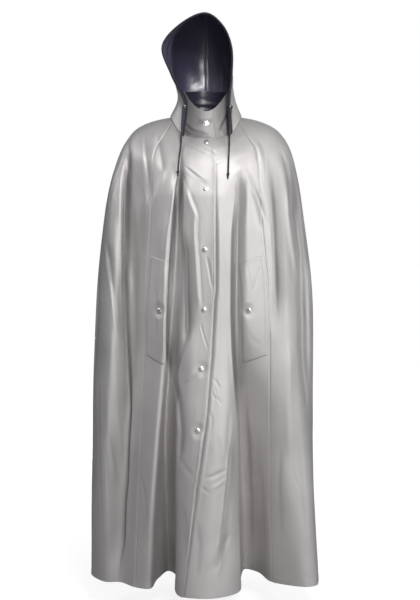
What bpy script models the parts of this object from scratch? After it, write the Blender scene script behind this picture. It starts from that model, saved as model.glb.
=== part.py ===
"""Full-length hooded rain cape, worn and hollow, at its real size.

Metres, +Z up. The front faces -Y and +X is the wearer's left. The origin is the middle of the neck opening at
the height of the shoulders, where the wearer carries the cape. Tables are in millimetres and degrees.
A turn is counted from the front centre, positive round the wearer's left side.
"""

import math
from collections import namedtuple

import bmesh
import bpy
import numpy as np
from mathutils import Matrix, Vector
from mathutils.bvhtree import BVHTree

MM = 0.001
CLOTH = 1.6 * MM          # coated cloth with its turned edges
CASING_CLOTH = 1.2 * MM   # strip round the hood opening
SEAM_GAP = 0.3 * MM       # two pieces at a seam
LAP_GAP = 0.8 * MM        # between two layers that lie on each other
WELT_GAP = 1.5 * MM       # under the free flap of a welt
WELT_SEWN_GAP = 0.7 * MM  # at the edge where it is sewn on
LIE_GAP = 0.35 * MM       # under a snap or an eyelet

# ---------------------------------------------------------------- the cape's shape
# Rings over the shoulders. Below them the fold lines carry the shape by themselves.
# Flatness is how long a ring stays low across the front before it climbs to the side.
Ring = namedtuple("Ring", "reach half_width front_depth back_depth side_z front_z back_z flatness")
RINGS = (
    Ring(0, 95, 88, 71, 5, -64, 16, 4.0),
    Ring(45, 138, 106, 99, -3, -98, -14, 3.2),
    Ring(105, 197, 119, 119, -27, -136, -62, 2.6),
    Ring(165, 244, 126, 128, -90, -172, -130, 2.0),
)
# Level stations that the fold lines pass through: distance down the cloth, and height.
Level = namedtuple("Level", "reach height")
CHEST, WAIST, KNEE, HEM = Level(235, -230), Level(585, -580), Level(965, -960), Level(1338, -1333)

# One row for each ridge, hollow or seam, from the wearer's right side seam round the front to the left and the back.
# Where it starts on the neckline, where it crosses the upper arm, its place at four levels, and the number of
# columns of cloth up to the next row.
Fold = namedtuple("Fold", "name neck_turn arm_turn chest waist knee hem columns")
FOLDS = (
    Fold("seam_right", -75, -38, (-151, -106), (-170, -94), (-186, -104), (-202, -108), 4),
    Fold("ridge_right", -59, -23, (-92, -134), (-111, -138), (-142, -138), (-160, -124), 2),
    Fold("fall_right", -54, -21, (-85, -126), (-104, -124), (-129, -96), (-143, -36), 3),
    Fold("hollow_right", -49, -19, (-77, -114), (-96, -99), (-118, -26), (-112, 52), 2),
    Fold("rise_right", -43, -16.5, (-67, -121), (-82, -111), (-95, -58), (-88, 14), 3),
    Fold("box_edge_right", -37, -13.5, (-55, -135), (-66, -132), (-80, -134), (-85, -76), 2),
    Fold("underlap", -28, -9, (-36, -139), (-42, -141), (-66, -161), (-83, -142), 2),
    Fold("placket", -8, -1.5, (-8, -142), (-14, -144), (-45, -174), (-74, -182), 2),
    Fold("front_edge", 13, 5.6, (23, -142), (14, -145), (-19, -179), (-60, -201), 3),
    Fold("box_middle", 27, 12, (50, -138), (44, -142), (25, -181), (5, -213), 2),
    Fold("box_ridge_left", 38, 17, (70, -131), (63, -134), (64, -167), (62, -189), 2),
    Fold("box_edge_left", 44, 19.5, (79, -124), (73, -125), (84, -136), (94, -146), 3),
    Fold("fall_left", 48, 21, (85, -114), (79, -109), (89, -70), (101, -18), 3),
    Fold("hollow_left", 52, 23, (93, -108), (88, -100), (102, -8), (118, 73), 3),
    Fold("rise_left", 61, 29, (116, -119), (114, -118), (136, -30), (155, 40), 3),
    Fold("seam_left", 75, 37, (152, -110), (179, -114), (181, -87), (190, -58), 2),
    Fold("ridge_left", 80, 52, (207, -97), (223, -107), (228, -104), (240, -91), 2),
    Fold("arm_left", 84, 62, (238, -71), (252, -82), (268, -92), (288, -106), 2),
    Fold("dip_left", 87, 70, (258, -45), (273, -55), (294, -68), (314, -92), 1),
    Fold("roll_left", 90, 79, (271, -20), (296, -36), (309, -38), (328, -58), 2),
    Fold("side_left", 94, 90, (276, 6), (311, 5), (316, 2), (331, -6), 2),
    Fold("back_dip_left", 98, 102, (267, 42), (297, 52), (296, 48), (296, 44), 2),
    Fold("back_roll_left", 104, 116, (244, 78), (277, 98), (285, 109), (292, 118), 3),
    Fold("back_seam_left", 116, 127, (207, 101), (230, 104), (238, 96), (240, 86), 2),
    Fold("back_rise_1", 124, 133, (190, 109), (208, 116), (211, 113), (212, 100), 2),
    Fold("back_ridge_1a", 132, 140, (163, 119), (182, 138), (190, 163), (194, 182), 2),
    Fold("back_ridge_1b", 140, 146, (139, 125), (154, 143), (156, 170), (156, 194), 2),
    Fold("back_hollow_1a", 148, 152, (111, 128), (124, 129), (131, 108), (133, 86), 2),
    Fold("back_hollow_1b", 154, 157, (92, 129), (102, 125), (100, 98), (96, 74), 2),
    Fold("back_ridge_2a", 165, 165, (58, 136), (66, 151), (72, 178), (70, 200), 2),
    Fold("back_ridge_2b", 172, 172, (30, 139), (32, 156), (30, 184), (24, 210), 2),
    Fold("back_hollow_2a", 180, 179, (2, 137), (3, 142), (2, 126), (-1, 104), 2),
    Fold("back_hollow_2b", 187, 185, (-24, 135), (-28, 137), (-33, 119), (-38, 92), 2),
    Fold("back_ridge_3a", 194, 192, (-54, 136), (-58, 149), (-60, 172), (-62, 190), 2),
    Fold("back_ridge_3b", 202, 199, (-86, 133), (-97, 151), (-106, 178), (-116, 203), 2),
    Fold("back_hollow_3a", 210, 206, (-117, 127), (-128, 128), (-136, 108), (-142, 84), 2),
    Fold("back_hollow_3b", 217, 211, (-138, 122), (-153, 122), (-166, 100), (-176, 76), 2),
    Fold("back_ridge_4a", 226, 219, (-166, 115), (-187, 128), (-197, 142), (-204, 156), 2),
    Fold("back_ridge_4b", 233, 225, (-188, 108), (-210, 126), (-223, 147), (-236, 164), 2),
    Fold("back_seam_right", 243, 234, (-225, 92), (-247, 104), (-260, 104), (-270, 98), 2),
    Fold("back_roll_right", 254, 247, (-258, 62), (-290, 76), (-304, 88), (-308, 102), 2),
    Fold("back_dip_right", 262, 258, (-278, 30), (-308, 38), (-318, 45), (-322, 60), 2),
    Fold("side_right", 268, 270, (-286, -2), (-320, 0), (-333, 10), (-339, 26), 3),
    Fold("arm_right", 274, 290, (-262, -66), (-266, -84), (-289, -68), (-290, -56), 3),
    Fold("dip_right", 280, 307, (-204, -64), (-212, -48), (-229, -56), (-247, -60), 3),
)
FOLD_AT = {fold.name: place for place, fold in enumerate(FOLDS)}
LAP_STARTS, LAP_FULL = "hollow_right", "box_edge_right"  # the upper front climbs over the lower one between these

# Distances down the cloth at which a row of cloth points lies.
ROWS = (0, 18, 44, 74, 104, 134, 165, 200, 240, 290, 342, 392, 416, 480, 545, 610, 677, 701,
        760, 830, 900, 970, 1055, 1145, 1240, HEM.reach)

# ---------------------------------------------------------------- collar
COLLAR_FOOT = Ring(0, 93.0, 86.0, 69.0, 2, -67, 13, 4.0)
COLLAR_WAIST = Ring(0, 77, 77, 66, 38, -29, 50, 3.0)
COLLAR_TOP = Ring(0, 64, 69, 60, 80, 14, 88, 2.0)
COLLAR_RINGS = 6
COLLAR_UNDER_TURN, COLLAR_OVER_TURN = -26, 379   # its two ends, which lap at the front
COLLAR_TUCK_TURN = 66                            # the under end tucks inwards from here on
COLLAR_COLUMNS = 46

# ---------------------------------------------------------------- hood
HOOD_FOOT_REACH = 7.5   # how far down the cape's yoke the hood is sewn on
HOOD_FOOT_GAP = 2.0 * MM  # its edge meets the yoke at a slant
# The opening as it stands: height, then x and y on the wearer's right and left. It gapes more on the right.
Rim = namedtuple("Rim", "name height right_x left_x y")
RIM = (
    Rim("chin", 41, -54, 64, -86),
    Rim("cheek", 113, -96, 72, -88),
    Rim("temple", 190, -122, 71, -93),
    Rim("brow", 247, -76, 46, -99),
)
# Hoops from the opening to the back: where each stands on the neckline, its half width, how much of the rim's own
# outline it keeps, and its top.
Hoop = namedtuple("Hoop", "name foot_turn half_width rim_share top_y top_z")
HOOPS = (
    Hoop("rim", 41, 0, 1.0, -104, 279),
    Hoop("brow", 58, 94, 0.62, -62, 289),
    Hoop("crown", 78, 97, 0.30, -2, 298),
    Hoop("back", 96, 96, 0.10, 62, 276),
    Hoop("occiput", 112, 88, 0.0, 107, 208),
    Hoop("nape", 123, 76, 0.0, 114, 118),
)
HOOP_LAST_TURN = 128    # from here round the back the hood's edge lies along the neckline
# A hoop's side between its foot and its top: share of the height, share of the half width. The left is drawn in.
HOOP_RIGHT_SIDE = ((0.20, 0.89), (0.46, 0.96), (0.72, 0.87), (0.90, 0.52))
HOOP_LEFT_SIDE = ((0.20, 0.89), (0.46, 0.79), (0.72, 0.71), (0.90, 0.44))
HOOD_UP = 12            # cloth points up each side
HOOD_BACK = (0.0, 0.09, 0.17, 0.26, 0.35, 0.44, 0.53, 0.62, 0.7, 0.78, 0.86, 0.93, 1.0)   # shares from rim to nape
CASING_SHARE = 0.09     # the casing's width, as the same share: about 18 mm
CASING_LIFT = CLOTH / 2 + LAP_GAP / 2 + CASING_CLOTH / 2

# ---------------------------------------------------------------- arm-slit welts
WELT_TOP, WELT_BOTTOM = -387, -672     # height of its outer corners
WELT_SLANT = 24                        # its inner corners lie this much lower
WELT_FROM_SEAM = 11
WELT_WIDTH_RIGHT, WELT_WIDTH_LEFT = 62, 66
WELT_ROW_GAP = 0.6 * MM                # least distance between two rows where a slanted end cuts them short
WELT_SNAP_INSET = 20

# ---------------------------------------------------------------- snaps, eyelets and cords
SNAP_RADIUS, SNAP_HEIGHT, SNAP_RIM = 7.5 * MM, 2.6 * MM, 1.2 * MM
SNAP_SIDES = 16
# Distance of each snap down the front, and how far it sits behind the front edge.
Snap = namedtuple("Snap", "height inset")
FRONT_SNAPS = (Snap(-76, 20), Snap(-209, 24), Snap(-376, 23), Snap(-543, 20), Snap(-707, 19), Snap(-876, 12))
COLLAR_SNAP_TURN, COLLAR_SNAP_SHARE = 2, 0.52
EYELET_OUTER, EYELET_BORE, EYELET_HEIGHT = 5.5 * MM, 3.0 * MM, 1.4 * MM
EYELET_HEIGHT_ON_RIM = 26
CORD_DIAMETER = 5 * MM
KNOT_RADIUS, KNOT_LENGTH, TAIL_LENGTH = 4.6 * MM, 9 * MM, 7 * MM
CORD_POINTS = 22
CORD_START = (0.8 * MM, 4.0 * MM)   # it leaves the eyelet square to the casing
# The drawcord's two ends after they leave their eyelets: they fall free, then lie down the chest to their knots.
CORD_RIGHT = ((-64, -87, 18), (-65.5, -88.5, 0), (-67, -89.5, -22), (-68, -91, -46), (-69, -94.5, -70),
              (-71, -101, -92), (-73.5, -110.2, -113), (-75.5, -118.2, -135), (-76.5, -121.5, -147), (-77, -124.6, -156))
CORD_LEFT = ((71, -86.5, 18), (69.5, -88.5, -2), (68, -89.5, -24), (67, -91, -47), (66, -94.5, -70),
             (65, -101.2, -92), (64, -110.8, -113), (63, -118.4, -135), (62.5, -122, -149), (62, -127, -162))


# ---------------------------------------------------------------- colours
SILVER = ("silver_coated_cloth", (0.56, 0.55, 0.55), 0.42, 0.0)
NAVY = ("navy_casing", (0.05, 0.05, 0.09), 0.5, 0.0)
METAL = ("white_metal", (0.86, 0.85, 0.82), 0.25, 1.0)
CORD = ("navy_cord", (0.06, 0.055, 0.08), 0.8, 0.0)


# ================================================================ small tools
def clear_scene():
    for item in list(bpy.data.objects):
        bpy.data.objects.remove(item, do_unlink=True)


def collection_named(name):
    group = bpy.data.collections.new(name)
    bpy.context.scene.collection.children.link(group)
    return group


def material(spec):
    name, colour, roughness, metallic = spec
    found = bpy.data.materials.get(name)
    if found:
        return found
    made = bpy.data.materials.new(name)
    made.use_nodes = True
    shader = made.node_tree.nodes["Principled BSDF"]
    shader.inputs["Base Color"].default_value = (*colour, 1.0)
    shader.inputs["Roughness"].default_value = roughness
    shader.inputs["Metallic"].default_value = metallic
    return made


def place(name, data, spec, group):
    item = bpy.data.objects.new(name, data)
    data.materials.append(material(spec))
    group.objects.link(item)
    return item


def hermite(before, start, end, after, gap_before, gap, gap_after, share):
    """A smooth curve from start to end whose ends lean towards the neighbours, with unequal gaps between them."""
    slope_start = ((start - before) / gap_before * gap + (end - start) / gap * gap_before) / (gap_before + gap)
    slope_end = ((end - start) / gap * gap_after + (after - end) / gap_after * gap) / (gap + gap_after)
    t2, t3 = share ** 2, share ** 3
    return ((2 * t3 - 3 * t2 + 1) * start + (t3 - 2 * t2 + share) * gap * slope_start
            + (3 * t2 - 2 * t3) * end + (t3 - t2) * gap * slope_end)


def along(stations, values, position):
    """The smooth open curve through values (first axis), which lie at the given stations."""
    stations = np.asarray(stations, float)
    last = len(stations) - 1
    low = int(np.clip(np.searchsorted(stations, position) - 1, 0, last - 1))
    gap = stations[low + 1] - stations[low]
    before, gap_before = 2 * values[low] - values[low + 1], gap
    if low > 0:
        before, gap_before = values[low - 1], stations[low] - stations[low - 1]
    after, gap_after = 2 * values[low + 1] - values[low], gap
    if low + 2 <= last:
        after, gap_after = values[low + 2], stations[low + 2] - stations[low + 1]
    share = (position - stations[low]) / gap
    return hermite(before, values[low], values[low + 1], after, gap_before, gap, gap_after, share)


def unit(vectors):
    return vectors / np.linalg.norm(vectors, axis=-1, keepdims=True)


def cloth(name, points, outward, thickness, lift, spec, group):
    """A closed wall on a grid of points: rows x columns x 3, moved out by lift along the outward directions."""
    rows, columns = points.shape[:2]
    bm = bmesh.new()
    bmesh.ops.create_grid(bm, x_segments=columns - 1, y_segments=rows - 1, size=0.5)
    bmesh.ops.triangulate(bm, faces=bm.faces[:], quad_method="FIXED")
    upper = bmesh.ops.extrude_face_region(bm, geom=bm.faces[:])
    bmesh.ops.translate(bm, verts=[v for v in upper["geom"] if isinstance(v, bmesh.types.BMVert)], vec=(0, 0, 1))
    lift = np.broadcast_to(lift, points.shape[:2])
    for vertex in bm.verts:
        column = round((vertex.co.x + 0.5) * (columns - 1))
        row = round((vertex.co.y + 0.5) * (rows - 1))
        height = lift[row, column] + (vertex.co.z - 0.5) * thickness
        vertex.co = Vector(points[row, column] + outward[row, column] * height)
    if bm.calc_volume(signed=True) < 0:
        bmesh.ops.reverse_faces(bm, faces=bm.faces[:])
    mesh = bpy.data.meshes.new(name)
    bm.to_mesh(mesh)
    bm.free()
    mesh.shade_smooth()
    return place(name, mesh, spec, group)


# ================================================================ the cape's body
def ring_point(ring, turn):
    """A point of a ring, in metres: an ellipse in plan whose height sinks or rises towards the front and the back."""
    sine, cosine = math.sin(math.radians(turn)), math.cos(math.radians(turn))
    front = cosine > 0
    depth = ring.front_depth if front else ring.back_depth
    end_z = ring.front_z if front else ring.back_z
    z = ring.side_z + (end_z - ring.side_z) * (1 - abs(sine) ** (ring.flatness if front else 2.0))
    return np.array((ring.half_width * sine, -depth * cosine, z)) * MM


def arm_turn(fold):
    """The arm turn on the same count as the neck turn, which runs on past 180 round the back."""
    return fold.arm_turn - 360 if fold.arm_turn - fold.neck_turn > 180 else fold.arm_turn


def fold_line(fold):
    """The points of one fold line: on the shoulder rings, then at the four levels."""
    points = []
    for ring in RINGS:
        share = math.sqrt(ring.reach / RINGS[-1].reach)
        points.append(ring_point(ring, fold.neck_turn + (arm_turn(fold) - fold.neck_turn) * share))
    for level, spot in ((CHEST, fold.chest), (WAIST, fold.waist), (KNEE, fold.knee), (HEM, fold.hem)):
        points.append(np.array((spot[0], spot[1], level.height)) * MM)
    return points


STATIONS = [ring.reach for ring in RINGS] + [level.reach for level in (CHEST, WAIST, KNEE, HEM)]
FOLD_LINES = np.array([fold_line(fold) for fold in FOLDS])      # folds x stations x 3


def down_cloth(values, reach):
    """A fold line at a distance down the cloth: a smooth curve that never swings past its own points."""
    low = int(np.clip(np.searchsorted(STATIONS, reach) - 1, 0, len(STATIONS) - 2))
    gaps = np.diff(STATIONS)
    steps = np.diff(values, axis=0) / gaps[:, None]

    def slope(at):
        if at in (0, len(STATIONS) - 1):
            return steps[0 if at == 0 else -1]
        before, after = steps[at - 1], steps[at]
        weight_before, weight_after = 2 * gaps[at] + gaps[at - 1], gaps[at] + 2 * gaps[at - 1]
        same = before * after > 0
        safe_before, safe_after = np.where(same, before, 1.0), np.where(same, after, 1.0)
        mean = (weight_before + weight_after) / (weight_before / safe_before + weight_after / safe_after)
        return np.where(same, mean, 0.0)

    gap = gaps[low]
    t = (reach - STATIONS[low]) / gap
    t2, t3 = t * t, t * t * t
    return ((2 * t3 - 3 * t2 + 1) * values[low] + (t3 - 2 * t2 + t) * gap * slope(low)
            + (3 * t2 - 2 * t3) * values[low + 1] + (t3 - t2) * gap * slope(low + 1))


def cape_point(place_round, reach):
    """A point of the cape's cloth. Its place round is a fold's number plus the share of the way to the next one."""
    count = len(FOLDS)
    low = int(math.floor(place_round))
    ring = [down_cloth(FOLD_LINES[(low + step) % count], reach) for step in (-1, 0, 1, 2)]
    gaps = [math.sqrt(np.linalg.norm(ring[step + 1] - ring[step])) for step in range(3)]
    return hermite(*ring, *gaps, place_round - low)


def cape_patch(places, reaches):
    """Points and outward directions of a patch of the cape: rows down the cloth, columns round it."""
    points = np.array([[cape_point(spot, reach) for spot in places] for reach in reaches])
    step, drop = 0.01, 1.0
    outward = np.empty_like(points)
    for row, reach in enumerate(reaches):
        upper, lower = max(reach - drop, 0), min(reach + drop, HEM.reach)
        for column, spot in enumerate(places):
            across = cape_point(spot + step, reach) - cape_point(spot - step, reach)
            down = cape_point(spot, lower) - cape_point(spot, upper)
            outward[row, column] = np.cross(down, across)
    return points, unit(outward)


def columns_between(first, last):
    """Places of the columns of cloth from one fold line round to another."""
    start, end = FOLD_AT[first], FOLD_AT[last]
    if end <= start:
        end += len(FOLDS)
    places = []
    for number in range(start, end):
        steps = FOLDS[number % len(FOLDS)].columns
        places += [number + step / steps for step in range(steps)]
    return places + [end]


def draw_back(points):
    """Draw both side edges of a patch back from their seams by half the gap."""
    for edge, inner in ((0, 1), (-1, -2)):
        points[:, edge] += unit(points[:, inner] - points[:, edge]) * SEAM_GAP / 2
    return points


def panel(name, first, last, group, lift_of=None):
    places = columns_between(first, last)
    points, outward = cape_patch(places, ROWS)
    points = draw_back(points)
    lift = np.array([lift_of(spot) if lift_of else 0.0 for spot in places])
    points = points + outward * lift[None, :, None]
    cloth(name, points, outward, CLOTH, 0.0, SILVER, group)
    return places, points, outward


def front_lap(spot):
    """How far the wearer's right front stands off the surface: nothing at its seam, a full layer over the other front."""
    share = np.clip((spot - FOLD_AT[LAP_STARTS]) / (FOLD_AT[LAP_FULL] - FOLD_AT[LAP_STARTS]), 0, 1)
    return (CLOTH + LAP_GAP) * share * share * (3 - 2 * share)


def on_panel(sheet, column, height):
    """Point and outward direction on a panel's own facets, at a column (with a share) and a height in metres."""
    places, points, outward = sheet
    low = min(int(column), len(places) - 2)
    share = column - low
    found = []
    for grid in (points, outward):
        sides = []
        for side in (low, low + 1):
            heights = -points[:, side, 2]
            sides.append(np.array([np.interp(-height, heights, grid[:, side, axis]) for axis in range(3)]))
        found.append(sides[0] * (1 - share) + sides[1] * share)
    return found[0], unit(found[1])


def column_at(sheet, edge, distance, height):
    """The column (with a share) that lies a distance in from the first or last edge of a panel at a height."""
    last = len(sheet[0]) - 1
    order = list(range(0, last + 1) if edge == "first" else range(last, -1, -1))
    spots = [on_panel(sheet, column, height)[0] for column in order]
    gone = [0.0]
    for before, after in zip(spots, spots[1:]):
        gone.append(gone[-1] + float(np.linalg.norm(after - before)))
    return float(np.interp(distance, gone, order))


# ================================================================ pieces
def build_body(group):
    right = panel("front_right", "seam_right", "front_edge", group, front_lap)
    left = panel("front_left", "underlap", "seam_left", group)
    panel("side_left", "seam_left", "back_seam_left", group)
    panel("back", "back_seam_left", "back_seam_right", group)
    panel("side_right", "back_seam_right", "seam_right", group)
    return right, left


def build_welt(name, sheet, edge, width, group):
    """The flap over an arm slit: it follows the panel's own facets, so its columns include the panel's."""
    middle = (WELT_TOP + WELT_BOTTOM) / 2 * MM
    near = column_at(sheet, edge, WELT_FROM_SEAM * MM, middle)
    far = column_at(sheet, edge, (WELT_FROM_SEAM + width) * MM, middle)
    low, high = min(near, far), max(near, far)
    middle_column = (low + high) / 2
    columns = [low] + [c for c in range(math.ceil(low), math.ceil(high)) if low < c < high] + [high]
    heights = [z for z in sheet[1][:, round(middle_column), 2]
               if (WELT_BOTTOM - WELT_SLANT) * MM < z < WELT_TOP * MM]
    heights = [WELT_TOP * MM] + heights + [(WELT_BOTTOM - WELT_SLANT) * MM]
    points, outward = [], []
    for row, height in enumerate(heights):
        line = []
        for column in columns:
            slant = WELT_SLANT * abs(column - near) / (high - low)
            highest = (WELT_TOP - slant) * MM - row * WELT_ROW_GAP
            lowest = (WELT_BOTTOM - slant) * MM + (len(heights) - 1 - row) * WELT_ROW_GAP
            line.append(on_panel(sheet, column, max(min(height, highest), lowest)))
        points.append([spot for spot, _ in line])
        outward.append([way for _, way in line])
    lift = np.full(len(columns), CLOTH + WELT_GAP)
    lift[columns.index(near)] = CLOTH + WELT_SEWN_GAP
    points, outward = np.array(points), np.array(outward)
    cloth(name, points, outward, CLOTH, lift, SILVER, group)
    inset = column_at(sheet, edge, (WELT_FROM_SEAM + width - WELT_SNAP_INSET) * MM, middle)
    seat, way = on_panel(sheet, inset, middle - WELT_SLANT * MM * 0.7)
    return seat, way


def collar_patch():
    turns = np.linspace(COLLAR_UNDER_TURN, COLLAR_OVER_TURN, COLLAR_COLUMNS)
    shares = np.linspace(0, 1, COLLAR_RINGS)
    points = np.empty((COLLAR_RINGS, COLLAR_COLUMNS, 3))
    outward = np.empty_like(points)
    for column, turn in enumerate(turns):
        line = [ring_point(ring, turn) for ring in (COLLAR_FOOT, COLLAR_WAIST, COLLAR_TOP)]
        beside = [ring_point(ring, turn + 1) for ring in (COLLAR_FOOT, COLLAR_WAIST, COLLAR_TOP)]
        tuck = np.clip((COLLAR_TUCK_TURN - turn) / (COLLAR_TUCK_TURN + 360 - COLLAR_OVER_TURN - 2), 0, 1)
        lift = -(CLOTH + LAP_GAP) * tuck * tuck * (3 - 2 * tuck)
        for row, share in enumerate(shares):
            spot = along((0, 0.5, 1), np.array(line), share)
            up = along((0, 0.5, 1), np.array(line), min(share + 0.01, 1)) \
                - along((0, 0.5, 1), np.array(line), max(share - 0.01, 0))
            across = along((0, 0.5, 1), np.array(beside), share) - spot
            outward[row, column] = unit(np.cross(across, up))
            points[row, column] = spot + outward[row, column] * lift
    return turns, points, outward


def build_collar(group):
    turns, points, outward = collar_patch()
    cloth("collar", points, outward, CLOTH, 0.0, SILVER, group)
    column = int(np.argmin(abs(turns - (360 + COLLAR_SNAP_TURN))))
    row = round(COLLAR_SNAP_SHARE * (COLLAR_RINGS - 1))
    return points[row, column], outward[row, column]


def foot_on_yoke(turn):
    """Where the hood stands on the yoke, just clear of its outer face."""
    turns = np.array([fold.neck_turn for fold in FOLDS] + [FOLDS[0].neck_turn + 360])
    wanted = (turn - turns[0]) % 360 + turns[0]
    spot = float(np.interp(wanted, turns, np.arange(len(turns))))
    lap = front_lap(spot) if spot <= FOLD_AT["front_edge"] else 0.0
    points, outward = cape_patch([spot], [HOOD_FOOT_REACH])
    return points[0, 0] + outward[0, 0] * (CLOTH / 2 + HOOD_FOOT_GAP + lap)


def hoop_points(hoop, side):
    """Foot, four points up the side and the top of one hoop, on the wearer's right (-1) or left (+1)."""
    foot = foot_on_yoke(side * hoop.foot_turn)
    top = np.array((0, hoop.top_y, hoop.top_z)) * MM
    points = [foot]
    for rim, (rise, width) in zip(RIM, HOOP_RIGHT_SIDE if side < 0 else HOOP_LEFT_SIDE):
        rim_x = rim.right_x if side < 0 else rim.left_x
        if hoop.name == "rim":
            points.append(np.array((rim_x, rim.y, rim.height)) * MM)
            continue
        spot = foot + (top - foot) * rise
        own_x = side * hoop.half_width * width
        spot[0] = (own_x + (rim_x - own_x) * hoop.rim_share) * MM
        points.append(spot)
    points.append(top)
    return points


def last_hoop(side):
    """The hood's back edge, along the neckline."""
    turns = np.linspace(HOOP_LAST_TURN, 180, len(RIM) + 2)
    points = [foot_on_yoke(side * turn) for turn in turns]
    points[-1][0] = 0
    return points


def hood_grid():
    """Hoop points for the whole hood: from the right foot over the top to the left foot, for each hoop."""
    grid = []
    for hoop in HOOPS:
        right, left = hoop_points(hoop, -1), hoop_points(hoop, 1)
        grid.append(right + left[-2::-1])
    right, left = last_hoop(-1), last_hoop(1)
    grid.append(right + left[-2::-1])
    return np.array(grid)


def hood_point(grid, over, back):
    """A point of the hood. over runs from -1 at the right foot to 1 at the left one, back from 0 at the rim to 1."""
    hoops = np.linspace(0, 1, len(grid))
    arch = along(hoops, grid, back)
    gaps = np.linalg.norm(np.diff(arch, axis=0), axis=1) ** 0.5
    stations = np.concatenate(([0], np.cumsum(gaps)))
    middle = stations[len(stations) // 2]
    position = middle * (1 + over) if over <= 0 else middle + (stations[-1] - middle) * over
    return along(stations, arch, position)


def seat_foot(grid, back, side):
    """How far the hood's edge must move to stand on the yoke between two hoops."""
    turns = [hoop.foot_turn for hoop in HOOPS] + [HOOP_LAST_TURN]
    turn = float(np.interp(back, np.linspace(0, 1, len(turns)), turns))
    return foot_on_yoke(side * turn) - hood_point(grid, side, back)


def hood_patch(grid, overs, backs):
    points = np.array([[hood_point(grid, over, back) for over in overs] for back in backs])
    for row, back in enumerate(backs):
        moves = {side: seat_foot(grid, back, side) for side in (-1, 1)}
        for column, over in enumerate(overs):
            points[row, column] += moves[-1 if over < 0 else 1] * abs(over) ** 6
    outward = np.empty_like(points)
    for row, back in enumerate(backs):
        for column, over in enumerate(overs):
            across = hood_point(grid, min(over + 0.01, 1), back) - hood_point(grid, max(over - 0.01, -1), back)
            rear = hood_point(grid, over, min(back + 0.01, 1)) - hood_point(grid, over, max(back - 0.01, 0))
            outward[row, column] = np.cross(across, rear)
    outward = unit(outward)
    if outward[0, len(overs) // 2] @ points[0, len(overs) // 2] < 0:
        outward = -outward
    return points, outward


def build_hood(group):
    grid = hood_grid()
    ups = np.linspace(0, 1, HOOD_UP + 1)
    for name, overs in (("hood_right", ups - 1), ("hood_left", 1 - ups)):
        points, outward = hood_patch(grid, overs, HOOD_BACK)
        points[:, -1] += unit(points[:, -2] - points[:, -1]) * SEAM_GAP / 2
        cloth(name, points, outward, CLOTH, 0.0, SILVER, group)
    overs = list(ups - 1) + list(ups[1:])
    points, outward = hood_patch(grid, overs, [0.0, CASING_SHARE])
    cloth("hood_casing", points, outward, CASING_CLOTH, CASING_LIFT, NAVY, group)
    return points, outward


def turned(name, profile, sides, spot, way, spec, group):
    """A turned piece: profile (radius, height) from its top down its outer side, standing at a spot along a way."""
    mesh = bpy.data.meshes.new(name)
    closed = profile[0][0] > 0
    corners = [(radius, 0, height) for radius, height in profile]
    edges = [(number, number + 1) for number in range(len(corners) - 1)]
    if closed:
        edges.append((len(corners) - 1, 0))
    mesh.from_pydata(corners, edges, [])
    item = place(name, mesh, spec, group)
    screw = item.modifiers.new("turn", "SCREW")
    screw.axis = "Z"
    screw.steps = screw.render_steps = sides
    screw.use_merge_vertices = True
    screw.merge_threshold = 0.00001
    screw.use_smooth_shade = True
    turn = Vector((0, 0, 1)).rotation_difference(Vector(way)).to_matrix().to_4x4()
    item.matrix_world = Matrix.Translation(Vector(spot)) @ turn
    return item


SNAP_PROFILE = (
    (0, SNAP_HEIGHT), (0.55 * SNAP_RADIUS, 0.94 * SNAP_HEIGHT), (0.86 * SNAP_RADIUS, 0.74 * SNAP_HEIGHT),
    (SNAP_RADIUS, SNAP_RIM * 0.6), (0.94 * SNAP_RADIUS, 0), (0, 0),
)


def highest_under(solids, spot, way, radius):
    """How far the cloth below a round piece rises along its way, over the piece's whole footprint."""
    side = Vector(way).orthogonal().normalized()
    other = Vector(way).cross(side)
    best = -1.0
    for ring in (0.0, 0.5, 1.0):
        for step in range(16):
            angle = step * math.tau / 16
            start = Vector(spot) + (side * math.cos(angle) + other * math.sin(angle)) * radius * ring
            start += Vector(way) * 0.02
            for tree in solids:
                hit = tree.ray_cast(start, -Vector(way), 0.04)
                if hit[0] is not None:
                    best = max(best, (hit[0] - Vector(spot)).dot(Vector(way)))
    return best


def tree_of(name):
    bm = bmesh.new()
    bm.from_mesh(bpy.data.objects[name].data)
    tree = BVHTree.FromBMesh(bm)
    bm.free()
    return tree


def lay_snap(name, spot, way, under, group):
    rise = highest_under([tree_of(other) for other in under], spot, way, SNAP_RADIUS)
    seat = np.array(spot) + np.array(way) * (rise + LIE_GAP)
    return turned(name, SNAP_PROFILE, SNAP_SIDES, seat, way, METAL, group)


def build_eyelet_and_cord(side, casing, group):
    """The eyelet on the casing, and the cord end that hangs from it down to its knot."""
    label = "right" if side < 0 else "left"
    points, outward = casing
    columns = points.shape[1]
    half = list(range(0, columns // 2) if side < 0 else range(columns - 1, columns // 2, -1))
    middle = (points[0] + points[1]) / 2
    ways = unit(outward[0] + outward[1])
    heights = [middle[c, 2] for c in half]
    spot = np.array([np.interp(EYELET_HEIGHT_ON_RIM * MM, heights, [middle[c, a] for c in half]) for a in range(3)])
    way = unit(np.array([np.interp(EYELET_HEIGHT_ON_RIM * MM, heights, [ways[c, a] for c in half]) for a in range(3)]))
    rise = highest_under([tree_of("hood_casing")], spot, way, EYELET_OUTER)
    seat = spot + way * (rise + LIE_GAP)
    mid = (EYELET_OUTER + EYELET_BORE) / 2
    ring = ((mid, EYELET_HEIGHT), (EYELET_OUTER * 0.9, EYELET_HEIGHT * 0.8), (EYELET_OUTER, 0.3 * EYELET_HEIGHT),
            (EYELET_OUTER * 0.94, 0), (EYELET_BORE, 0), (EYELET_BORE, 0.7 * EYELET_HEIGHT))
    turned("eyelet_" + label, ring, SNAP_SIDES, seat, way, METAL, group)
    route = [seat + way * stand for stand in CORD_START]
    route += [np.array(point) * MM for point in (CORD_RIGHT if side < 0 else CORD_LEFT)]
    build_cord(label, route, group)


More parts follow.
